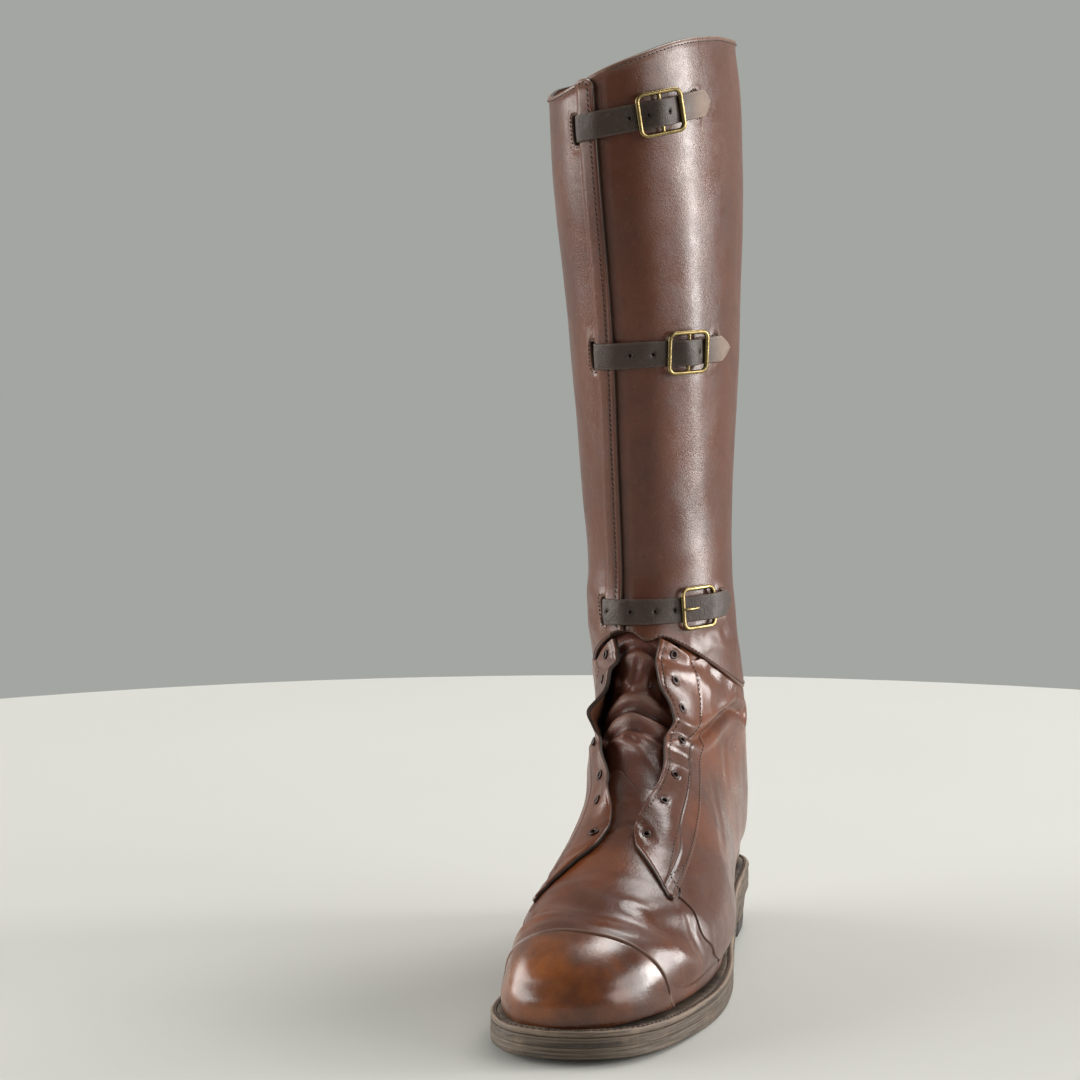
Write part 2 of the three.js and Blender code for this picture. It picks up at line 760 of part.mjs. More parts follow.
// A buckle's frame stands on two places over the strap, one under each of its side bars
function buckleFrame(strap) {
  const u = strap.buckle * ballWidth;
  const z = strapHeight(strap, u);
  const under = shaftStep + strapGap;
  const leftLift = under + strapThick + clearance + barRadius;
  const overStrap = strap.bars === 'middle' ? strapThick + clearance : 0;
  const rightLift = under + chapeThick + clearance + overStrap + barRadius;
  const left = placeAt(u - buckleHalf, strapHeight(strap, u - buckleHalf), leftLift);
  const right = placeAt(u + buckleHalf, strapHeight(strap, u + buckleHalf), rightLift);
  const across = right.clone().sub(left).normalize();
  const above = placeAt(u, z + 6, 0).sub(placeAt(u, z - 6, 0));
  const out = across.clone().cross(above).normalize();
  const up = out.clone().cross(across).normalize();
  const centre = left.clone().add(right).multiplyScalar(0.5);
  const half = left.distanceTo(right) / 2;
  const over = centre.clone().sub(placeAt(u, z, 0)).dot(skinNormalAt(u, z));
  return { centre, across, up, out, half, over, u, rightLift };
}

function skinNormalAt(u, z) {
  return placeAt(u, z, 1).sub(placeAt(u, z, 0)).normalize();
}

function buckle(strap) {
  const frame = buckleFrame(strap);
  const place = (x, y) => frame.centre.clone()
    .addScaledVector(frame.across, x).addScaledVector(frame.up, y);
  const corner = buckleCorner;
  const path = [];
  for (const [cx, cy, start] of [[1, 1, 0], [-1, 1, 1], [-1, -1, 2], [1, -1, 3]]) {
    for (let i = 0; i <= 3; i += 1) {
      const angle = (start + i / 3) * Math.PI / 2;
      path.push(place(
        cx * (frame.half - corner) + corner * Math.cos(angle),
        cy * (buckleHalfHigh - corner) + corner * Math.sin(angle),
      ));
    }
  }
  let solid = solidOf(ring(path, frame.out, barRadius, 8));
  if (strap.bars === 'middle') {
    const bar = rod(place(0, -buckleHalfHigh), place(0, buckleHalfHigh), middleBarRadius, 8);
    solid = solid.add(solidOf(bar));
  }
  return geometryOf(solid);
}

// A round bar swept round a closed path that lies in a plane
function ring(path, normal, radius, sides) {
  const count = path.length;
  const points = [];
  for (let i = 0; i < count; i += 1) {
    const along = path[(i + 1) % count].clone().sub(path[(i + count - 1) % count]).normalize();
    const side = along.clone().cross(normal).normalize();
    for (let k = 0; k < sides; k += 1) {
      const angle = 2 * Math.PI * k / sides;
      points.push(path[i].clone().addScaledVector(side, radius * Math.cos(angle))
        .addScaledVector(normal, radius * Math.sin(angle)));
    }
  }
  return meshFrom(points, bands(count, sides, true));
}

// Leather strips: a path of [u, lift] pairs with a width, on the line of a strap
const stripStep = 4.5;

function fillPath(path) {
  const filled = [path[0]];
  for (let i = 1; i < path.length; i += 1) {
    const [u0, lift0] = path[i - 1];
    const [u1, lift1] = path[i];
    const parts = Math.ceil(Math.abs(u1 - u0) / stripStep);
    for (let k = 1; k <= parts; k += 1) {
      filled.push([u0 + (u1 - u0) * k / parts, lift0 + (lift1 - lift0) * k / parts]);
    }
  }
  return filled;
}

function strip(strap, points, width, thick, taper = 0) {
  const across = [-1, 0, 1];
  const path = fillPath(points);
  const place = (off) => (r, c) => {
    const [u, lift] = path[r];
    const narrow = r === path.length - 1 ? 1 - taper : 1;
    return placeAt(u, strapHeight(strap, u) + across[c] * narrow * width / 2, lift + off);
  };
  return sheetSolid(path.length, across.length, place(0), place(thick));
}

// Through the medial slot, over the fly's edge, under the buckle's near bar and over its bar
function strapStrip(strap) {
  const frame = buckleFrame(strap);
  const under = shaftStep + strapGap;
  const inside = -wall - innerGap - strapThick;
  const entry = slotU - slotHalf + 0.2;
  const flap = shaftStep + flyGap + flyThick + strapGap;
  const high = under + chapeThick + clearance;
  const tip = strap.tip * ballWidth;
  const start = [
    [entry - strapTail, inside], [entry, inside],
    [slotU + slotHalf + 1.4, flap], [slitU + 1, flap], [flyEdgeU + 0.6, flap], [flyEdgeU + 8, under],
    [frame.u - buckleHalf - 1.5, under], [frame.u - buckleHalf + 1.5, under],
  ];
  const over = frame.over + middleBarRadius + clearance;
  const overEnd = frame.rightLift + barRadius + clearance;
  const endings = {
    middle: [[frame.u - 2.2, over], [frame.u + 2.2, over], [frame.u + buckleHalf - 1.8, high],
      [frame.u + buckleHalf + 1.8, high], [tip - 6, high], [tip, high]],
    end: [[frame.u + buckleHalf - 3.5, overEnd], [frame.u + buckleHalf + 3, overEnd],
      [tip - 6, high], [tip, under]],
  };
  return strip(strap, [...start, ...endings[strap.bars]], strapWidth, strapThick, 0.8);
}

// From under the buckle's bar to its own slot, and through it
function chapeStrip(strap) {
  const frame = buckleFrame(strap);
  const under = shaftStep + strapGap;
  const slot = strap.chape * ballWidth;
  const inside = -wall - innerGap - chapeThick;
  const start = strap.bars === 'middle' ? frame.u - middleBarRadius : frame.u + buckleHalf - 2;
  const path = [
    [start, under], [slot - slotHalf + 0.5, under],
    [slot + slotHalf + 0.2, inside], [slot + slotHalf + strapTail, inside],
  ];
  return strip(strap, path, chapeWidth, chapeThick);
}

// Pull loops: webbing sewn inside the collar at both ends and standing off between them
const loopWidth = 18;
const loopDrop = 52;
const loopThick = 1.2;
const loopStand = 4;
const loopBelowRim = 12;
const loopTurn = 0.48;
const loopStation = 16;

function pullLoop(side) {
  const rows = 9;
  const turn = side * loopTurn;
  const u = side * girthTo(loopStation, turn);
  const top = skin(rimStation(turn), turn).z - loopBelowRim;
  const place = (off) => (r, c) => {
    const share = r / (rows - 1);
    const stand = loopStand * Math.sin(Math.PI * share) ** 2;
    const z = top - loopDrop * share;
    return placeAt(u + loopWidth * (c / 3 - 0.5), z, -wall - innerGap - stand - off);
  };
  return sheetSolid(rows, 4, place(loopThick), place(0));
}

function girthTo(station, turn) {
  turnOf(turn > 0 ? 1 : -1, station);
  const sums = girths.get(Math.sign(turn) * Math.round(station * 1e5));
  return sums[Math.round(Math.abs(turn) * girthSteps)];
}

function insole() {
  const height = (up) => (y) => underside(y) + stack + wall + up;
  const slab = solidOf(layer([
    { inset: 0, height: height(2 * clearance) },
    { inset: 0, height: height(2 * clearance + insoleThick) },
  ]));
  return geometryOf(lastSolid(wall + insoleSideGap, 1.1).intersect(slab));
}

// The tongue lies inside the throat and behind the shaft's front
const tongueHalf = 36;
const tongueLow = 5.0;
const tongueHigh = 13.6;

function tongue() {
  const rows = 14;
  const columns = 9;
  const place = (off) => (r, c) => {
    const station = tongueLow + (tongueHigh - tongueLow) * r / (rows - 1);
    const under = THREE.MathUtils.smoothstep(station, throatHigh - 0.5, throatHigh + 0.7);
    const depth = wall + innerGap + under * (strapThick + 2 * clearance);
    const end = Math.min(1, 0.7 + 0.1 * r, 0.75 + 0.1 * (rows - 1 - r));
    const u = tongueHalf * end * (2 * c / (columns - 1) - 1);
    return at(u, station, -depth - off);
  };
  return sheetSolid(rows, columns, place(tongueThick), place(0));
}

const group = new THREE.Group();

function add(name, geometry, material) {
  const mesh = new THREE.Mesh(geometry, new THREE.MeshStandardMaterial(materials[material]));
  mesh.name = name;
  group.add(mesh);
}

add('outsole', outsole(), 'sole');
add('midsole', midsole(), 'sole');
add('welt', welt(), 'sole');
add('heel_lifts', heelLifts(), 'sole');
add('heel_top_piece', heelTopPiece(), 'sole');
add('insole', insole(), 'insole');
add('upper', upper(), 'upper');
add('tongue', tongue(), 'tongue');
add('facing_lateral', facing(1), 'upper');
add('facing_medial', facing(-1), 'upper');
for (const strap of strapRows) {
  add(`strap_${strap.name}`, strapStrip(strap), 'strap');
  add(`chape_${strap.name}`, chapeStrip(strap), 'strap');
  add(`buckle_${strap.name}`, buckle(strap), 'brass');
}
add('pull_loop_lateral', pullLoop(1), 'webbing');
add('pull_loop_medial', pullLoop(-1), 'webbing');

export default group;
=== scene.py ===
"""A left riding boot with a strapped front: its leather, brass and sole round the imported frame."""

import math

import bmesh
import bpy
import numpy as np
from bpy.props import FloatProperty, FloatVectorProperty, IntProperty, PointerProperty
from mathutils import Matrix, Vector


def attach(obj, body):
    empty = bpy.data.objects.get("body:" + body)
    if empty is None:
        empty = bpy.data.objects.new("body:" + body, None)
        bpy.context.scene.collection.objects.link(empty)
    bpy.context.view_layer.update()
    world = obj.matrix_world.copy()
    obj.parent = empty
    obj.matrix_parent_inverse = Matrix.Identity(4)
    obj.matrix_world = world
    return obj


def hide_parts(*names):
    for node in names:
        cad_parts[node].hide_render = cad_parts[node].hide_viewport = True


bl_info = {
    "name": "Strapped riding boot",
    "version": (1, 0, 0),
    "blender": (4, 5, 0),
    "location": "View3D > Sidebar > Boot",
    "description": "Builds a left riding boot with three buckled straps",
    "category": "Add Mesh",
}

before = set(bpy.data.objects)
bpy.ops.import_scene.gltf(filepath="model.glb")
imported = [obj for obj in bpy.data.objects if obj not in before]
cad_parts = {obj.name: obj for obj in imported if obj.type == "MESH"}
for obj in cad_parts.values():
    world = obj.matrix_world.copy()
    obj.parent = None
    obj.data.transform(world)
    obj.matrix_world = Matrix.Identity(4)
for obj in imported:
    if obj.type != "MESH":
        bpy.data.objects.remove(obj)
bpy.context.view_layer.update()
MM = 0.001
SEED = 7

# Height of the sole's underside: y is a share of the sole's length, toe and heel are shares
# of the toe spring and of the heel's height.
SOLE_LINE = np.array([
    [-0.873, 1.0, 0], [-0.767, 0.4, 0], [-0.667, 0.1, 0], [-0.567, 0, 0], [-0.4, 0, 0],
    [-0.3, 0, 0.21], [-0.2, 0, 0.51], [-0.1, 0, 0.8], [0, 0, 0.95], [0.127, 0, 1.0],
])

# The sole's outline: y as a share of its length, then lateral and medial halves and the centre
# line as shares of the ball width.
SOLE_OUTLINE = np.array([
    [-0.885, 0, 0, -0.064], [-0.880, 0.11, 0.10, -0.064], [-0.868, 0.22, 0.20, -0.064],
    [-0.832, 0.355, 0.30, -0.062], [-0.757, 0.46, 0.40, -0.053], [-0.65, 0.52, 0.445, -0.032],
    [-0.55, 0.535, 0.46, -0.011], [-0.43, 0.505, 0.43, 0], [-0.317, 0.44, 0.38, 0.005],
    [-0.2, 0.38, 0.34, 0.01], [-0.1, 0.34, 0.33, 0.01], [0, 0.325, 0.335, 0.01],
    [0.067, 0.29, 0.30, 0.01], [0.107, 0.20, 0.21, 0.01], [0.123, 0.095, 0.10, 0.01],
    [0.127, 0, 0, 0.01],
])

# Sections of the last from the toe's tip to above the collar, a row for each station: front y
# and rise, back y and rise, front x, back x, lateral, medial, widest, low and high roundness.
SECTIONS = np.array([
    [-0.863, 0.048, -0.863, 0.008, -0.064, -0.064, 0.005, 0.005, 0.42, 2.3, 2.0],
    [-0.849, 0.146, -0.849, 0.004, -0.064, -0.064, 0.195, 0.165, 0.38, 2.6, 2.0],
    [-0.805, 0.226, -0.805, 0.002, -0.064, -0.064, 0.330, 0.262, 0.37, 2.8, 2.1],
    [-0.730, 0.292, -0.730, 0.001, -0.053, -0.053, 0.437, 0.335, 0.36, 3.1, 2.15],
    [-0.643, 0.347, -0.637, 0.001, -0.032, -0.032, 0.500, 0.383, 0.35, 3.3, 2.15],
    [-0.553, 0.420, -0.520, 0.001, -0.011, -0.011, 0.515, 0.399, 0.34, 3.4, 2.1],
    [-0.470, 0.524, -0.383, 0.001, 0.000, 0.011, 0.490, 0.394, 0.33, 3.2, 2.0],
    [-0.393, 0.639, -0.250, 0.001, -0.011, 0.011, 0.420, 0.362, 0.34, 3.0, 1.95],
    [-0.327, 0.749, -0.117, 0.001, -0.074, 0.011, 0.380, 0.351, 0.34, 2.8, 1.95],
    [-0.277, 0.844, 0.017, 0.001, -0.096, 0.011, 0.355, 0.345, 0.36, 2.6, 2.0],
    [-0.247, 0.924, 0.103, 0.006, -0.106, 0.011, 0.345, 0.347, 0.40, 2.6, 2.0],
    [-0.230, 0.988, 0.128, 0.176, -0.128, 0.005, 0.355, 0.351, 0.44, 2.3, 2.0],
    [-0.222, 1.031, 0.125, 0.427, -0.149, -0.011, 0.370, 0.362, 0.47, 2.15, 2.0],
    [-0.218, 1.077, 0.115, 0.698, -0.149, -0.032, 0.354, 0.380, 0.48, 2.1, 2.0],
    [-0.223, 1.135, 0.113, 0.984, -0.149, -0.074, 0.345, 0.357, 0.48, 2.1, 2.0],
    [-0.240, 1.268, 0.127, 1.177, -0.154, -0.096, 0.357, 0.382, 0.48, 2.15, 2.0],
    [-0.273, 1.507, 0.157, 1.445, -0.160, -0.128, 0.409, 0.426, 0.48, 2.15, 2.0],
    [-0.307, 1.728, 0.173, 1.688, -0.191, -0.160, 0.455, 0.457, 0.48, 2.15, 2.0],
    [-0.323, 1.874, 0.170, 1.885, -0.213, -0.170, 0.457, 0.463, 0.48, 2.15, 2.0],
    [-0.330, 1.964, 0.167, 1.999, -0.223, -0.181, 0.437, 0.452, 0.48, 2.15, 2.0],
    [-0.333, 2.054, 0.163, 2.092, -0.234, -0.191, 0.427, 0.447, 0.48, 2.15, 2.0],
])
STATIONS = np.arange(len(SECTIONS))
TOP_STATION = len(SECTIONS) - 1

# The collar's rim: turn round the leg, and rise as a share of the shaft's.
RIM_LINE = np.array([
    [-1, 1.972], [-0.75, 1.925], [-0.5, 1.905], [-0.25, 1.919], [-0.1, 1.951], [0, 1.975],
    [0.1, 1.992], [0.25, 2.008], [0.4, 2.000], [0.5, 1.988], [0.75, 1.986], [0.9, 1.996],
    [1, 1.972],
])

# The throat: station, then the facing's free edge, the opening under it, the facing's stitched
# line and its raised seam behind, as shares of the ball width from the front centre line.
THROAT_LINE = np.array([
    [4.40, 0.055, 0.14, 0.30, 0.36], [5.35, 0.055, 0.14, 0.30, 0.365],
    [6.0, 0.07, 0.19, 0.26, 0.365], [6.6, 0.11, 0.215, 0.265, 0.37],
    [7.1, 0.13, 0.24, 0.28, 0.38], [7.7, 0.15, 0.285, 0.315, 0.42],
    [8.25, 0.20, 0.33, 0.35, 0.455], [8.7, 0.165, 0.345, 0.40, 0.49],
    [9.1, 0.115, 0.30, 0.42, 0.53], [9.6, 0.095, 0.26, 0.41, 0.61],
    [10.2, 0.10, 0.25, 0.37, 0.69], [10.95, 0.12, 0.25, 0.34, 0.80],
    [11.6, 0.12, 0.25, 0.34, 0.84],
])
THROAT_LOW, THROAT_HIGH = 5.35, 10.95
EYELET_STATIONS = [5.72, 6.38, 7.08, 8.02, 8.85, 9.5, 10.5]

# Straps from the top down: name, rise at the slot and at the tip, buckle, chape and tip as
# shares of the ball width, and whether the buckle has a middle bar.
STRAPS = [
    {"name": "top", "slot_rise": 1.851, "tip_rise": 1.902, "buckle": 0.26, "chape": 0.53,
     "tip": 0.62, "middle_bar": True, "holes": (0.105, 0.195, 0.295), "point": 0.45,
     "tip_wear": 1.0},
    {"name": "middle", "slot_rise": 1.471, "tip_rise": 1.483, "buckle": 0.325, "chape": 0.59,
     "tip": 0.70, "middle_bar": True, "holes": (0.03, 0.135, 0.395), "point": 0.75,
     "tip_wear": 0.9},
    {"name": "bottom", "slot_rise": 1.024, "tip_rise": 1.032, "buckle": 0.375, "chape": 0.61,
     "tip": 0.71, "middle_bar": False, "holes": (-0.11, 0.0, 0.11, 0.22), "point": 0.95,
     "tip_wear": 0.0},
]

# Creases and rolls of the worn leather, each a line of (share of ball width, station) with its
# depth and half width in millimetres. A negative depth is a roll that stands up.
FOOT_CREASES = [
    (1.7, 6.5, [(-0.62, 3.9), (-0.26, 3.75), (-0.04, 3.4), (0.1, 3.25), (0.3, 3.3), (0.45, 3.75),
                (0.58, 4.1)]),
    (0.35, 2.6, [(-0.45, 3.35), (-0.2, 3.05), (0.05, 2.92), (0.25, 2.95)]),
    (0.3, 2.2, [(0.2, 3.6), (0.38, 3.5), (0.52, 3.62)]),
    (-0.7, 5.5, [(-0.32, 4.45), (-0.12, 4.2), (0.03, 4.25), (0.2, 4.3)]),
    (-1.0, 9.0, [(0.62, 3.6), (0.72, 3.95)]),
    (0.4, 2.0, [(0.45, 4.25), (0.55, 4.05), (0.66, 4.1)]),
    (0.4, 2.2, [(-0.5, 4.6), (-0.3, 4.95), (-0.1, 5.1)]),
    (0.35, 1.8, [(-0.1, 5.5), (0.06, 5.7), (0.16, 5.3)]),
    (-0.5, 3.0, [(-0.12, 6.0), (0.02, 6.3), (0.10, 6.1)]),
    (0.3, 3.4, [(0.58, 8.0), (0.61, 7.2), (0.60, 6.6)]),
    (0.35, 3.6, [(0.78, 9.8), (0.82, 8.8)]),
    (3.1, 2.8, [(0.14, 7.85), (0.26, 8.22), (0.40, 8.5), (0.56, 9.3), (0.72, 10.4), (0.88, 11.2),
                (1.1, 11.6)]),
    (-3.0, 10.0, [(0.36, 9.6), (0.52, 10.2), (0.64, 10.8)]),
    (2.6, 6.0, [(0.44, 11.35), (0.56, 11.35), (0.66, 11.5)]),
    (0.8, 3.0, [(0.05, 9.95), (0.16, 10.2), (0.30, 10.55), (0.42, 11.2)]),
    (0.6, 1.6, [(0.14, 7.45), (0.22, 7.6), (0.34, 7.7)]),
    (-0.6, 2.0, [(0.14, 7.2), (0.24, 7.35), (0.33, 7.4)]),
    (-1.6, 7.0, [(0.12, 6.5), (0.2, 5.8), (0.26, 5.2)]),
    (2.0, 3.4, [(-0.10, 8.1), (-0.30, 8.3), (-0.5, 9.0), (-0.7, 10.2), (-0.9, 11.1)]),
    (-2.0, 10.0, [(-0.36, 9.6), (-0.55, 10.3)]),
    (1.1, 2.4, [(-0.05, 9.7), (-0.18, 9.9), (-0.34, 10.5)]),
    (0.7, 2.8, [(-0.6, 8.0), (-0.62, 6.8), (-0.6, 5.8)]),
    (0.7, 3.0, [(-0.85, 9.6), (-0.9, 8.2), (-0.95, 7.0)]),
]
TONGUE_CREASES = [
    (2.4, 2.2, [(-0.3, 8.34), (-0.1, 8.46), (0.1, 8.40), (0.3, 8.42)]),
    (-1.7, 2.4, [(-0.25, 8.62), (0.0, 8.72), (0.25, 8.62)]),
    (-1.5, 2.0, [(-0.3, 8.08), (-0.05, 8.18), (0.25, 8.12)]),
    (1.3, 1.7, [(-0.3, 7.92), (-0.02, 7.95), (0.22, 7.86)]),
    (-1.2, 2.0, [(-0.24, 7.95), (-0.1, 7.7), (0.04, 7.45)]),
    (-1.2, 1.8, [(0.0, 7.65), (0.1, 7.3), (0.18, 7.05)]),
    (0.9, 1.5, [(-0.04, 7.75), (0.08, 7.4), (0.14, 7.15)]),
    (-1.2, 2.0, [(-0.1, 9.3), (0.0, 8.98), (0.08, 9.3), (0.14, 9.7)]),
    (1.0, 1.8, [(-0.2, 9.1), (-0.06, 9.02), (-0.02, 9.4), (0.0, 9.8)]),
    (1.1, 2.0, [(0.12, 8.95), (0.1, 9.4), (0.2, 10.0)]),
    (-1.0, 2.4, [(-0.14, 9.9), (0.02, 10.1), (0.16, 9.95)]),
    (1.2, 2.0, [(-0.2, 10.35), (0.02, 10.42), (0.2, 10.25)]),
]
SHAFT_CREASES = [
    (0.7, 3.4, [(0.42, 11.9), (0.52, 12.35), (0.66, 12.6)]),
    (0.6, 3.0, [(0.60, 12.9), (0.70, 12.6), (0.80, 12.7)]),
    (-0.7, 5.0, [(0.30, 11.9), (0.44, 12.5)]),
    (0.4, 8.0, [(0.30, 14.5), (0.28, 16.0), (0.30, 17.5)]),
    (0.5, 5.0, [(-0.25, 12.2), (-0.4, 12.8), (-0.6, 13.0)]),
    (0.5, 6.0, [(-0.9, 13.4), (-1.1, 13.9), (-1.4, 14.2)]),
    (0.5, 6.0, [(1.0, 13.2), (1.2, 13.8), (1.5, 14.1)]),
]


class BootSizes(bpy.types.PropertyGroup):
    """The boot's main sizes."""
    sole_length: FloatProperty(
        name="Sole length", description="From the toe's edge to the heel's back",
        default=0.300, min=0.2, max=0.4, unit="LENGTH")
    ball_width: FloatProperty(
        name="Ball width", description="Width that the sections are shares of",
        default=0.094, min=0.06, max=0.13, unit="LENGTH")
    heel_height: FloatProperty(
        name="Heel height", description="Rise of the sole's underside at the heel",
        default=0.020, min=0.0, max=0.05, unit="LENGTH")
    toe_spring: FloatProperty(
        name="Toe spring", description="Rise of the sole at the toe",
        default=0.003, min=0.0, max=0.02, unit="LENGTH")
    ankle_rise: FloatProperty(
        name="Ankle rise", description="From the sole up to the ankle",
        default=0.140, min=0.09, max=0.2, unit="LENGTH")
    shaft_rise: FloatProperty(
        name="Shaft rise", description="From the ankle to the shaft's reference height",
        default=0.280, min=0.1, max=0.4, unit="LENGTH")
    wall: FloatProperty(
        name="Leather", description="Thickness of the upper's leather",
        default=0.0022, min=0.001, max=0.004, unit="LENGTH")
    strap_width: FloatProperty(
        name="Strap width", description="Width of the three straps",
        default=0.0125, min=0.008, max=0.02, unit="LENGTH")
    strap_thick: FloatProperty(
        name="Strap leather", description="Thickness of the straps",
        default=0.0015, min=0.001, max=0.003, unit="LENGTH")
    outsole_thick: FloatProperty(
        name="Outsole", description="Thickness of the outsole",
        default=0.0046, min=0.002, max=0.01, unit="LENGTH")
    midsole_thick: FloatProperty(
        name="Midsole", description="Thickness of the midsole",
        default=0.0042, min=0.002, max=0.01, unit="LENGTH")
    welt_thick: FloatProperty(
        name="Welt", description="Thickness of the welt",
        default=0.0026, min=0.001, max=0.005, unit="LENGTH")
    top_piece_thick: FloatProperty(
        name="Heel top piece", description="Thickness of the rubber under the heel",
        default=0.006, min=0.003, max=0.01, unit="LENGTH")
    heel_lift_count: IntProperty(
        name="Heel lifts", description="Layers of leather in the heel", default=4, min=2, max=9)
    stitch_pitch: FloatProperty(
        name="Stitch pitch", description="From one stitch to the next",
        default=0.0024, min=0.0015, max=0.006, unit="LENGTH")


def colour(name, description, default):
    """A colour property with its default."""
    return FloatVectorProperty(name=name, description=description, subtype="COLOR",
                               size=3, min=0, max=1, default=default)


class BootColours(bpy.types.PropertyGroup):
    """The boot's colours."""
    leather: colour("Upper leather", "Main colour of the upper", (0.115, 0.034, 0.015))
    leather_dark: colour("Upper shade", "Darker patches of the upper", (0.042, 0.011, 0.005))
    leather_worn: colour("Upper wear", "Rubbed edges of the upper", (0.24, 0.15, 0.11))
    cap: colour("Toe cap", "Polished colour of the toe cap", (0.19, 0.048, 0.009))
    cap_dark: colour("Toe cap shade", "Darker mottling of the toe cap", (0.030, 0.007, 0.003))
    tongue: colour("Tongue", "Softer, redder leather of the tongue", (0.155, 0.050, 0.030))
    lining: colour("Lining", "Leather inside the shaft", (0.20, 0.075, 0.035))
    cut_edge: colour("Cut edge", "Raw edge of the leather", (0.045, 0.030, 0.022))
    strap: colour("Strap leather", "Matte leather of the straps", (0.046, 0.026, 0.018))
    strap_worn: colour("Strap wear", "Rubbed tips of the straps", (0.30, 0.215, 0.17))
    brass: colour("Brass", "Buckle frames", (0.30, 0.225, 0.10))
    thread: colour("Thread", "Stitches of the upper", (0.060, 0.036, 0.025))
    sole: colour("Sole edge", "Weathered edge of the sole", (0.135, 0.10, 0.07))
    sole_dark: colour("Sole streaks", "Dark streaks of the sole's edge", (0.028, 0.018, 0.012))
    welt: colour("Welt", "Leather of the welt", (0.17, 0.125, 0.09))
    rubber: colour("Heel rubber", "Top piece of the heel", (0.035, 0.03, 0.027))
    insole: colour("Insole", "Leather under the foot", (0.32, 0.18, 0.10))
    webbing: colour("Webbing", "Pull loops", (0.42, 0.20, 0.08))
    floor: colour("Floor", "Plain pale floor", (0.50, 0.50, 0.475))


def spline(xs, ys, x):
    """Hermite interpolation of a column of a table."""
    gap = np.diff(xs)
    slope = np.diff(ys) / gap
    tangent = np.empty(len(ys))
    tangent[0], tangent[-1] = slope[0], slope[-1]
    tangent[1:-1] = (gap[:-1] * slope[1:] + gap[1:] * slope[:-1]) / (gap[:-1] + gap[1:])
    x = np.asarray(x, float)
    i = np.clip(np.searchsorted(xs, x, side="right") - 1, 0, len(xs) - 2)
    h = gap[i]
    t = (x - xs[i]) / h
    return ((2 * t**3 - 3 * t**2 + 1) * ys[i] + (t**3 - 2 * t**2 + t) * h * tangent[i]
            + (3 * t**2 - 2 * t**3) * ys[i + 1] + (t**3 - t**2) * h * tangent[i + 1])


def unit(v):
    """Vectors of length one."""
    return v / np.maximum(np.linalg.norm(v, axis=-1, keepdims=True), 1e-12)


def smooth(low, high, x):
    """A soft step from 0 at low to 1 at high."""
    t = np.clip((np.asarray(x, float) - low) / (high - low), 0, 1)
    return t * t * (3 - 2 * t)


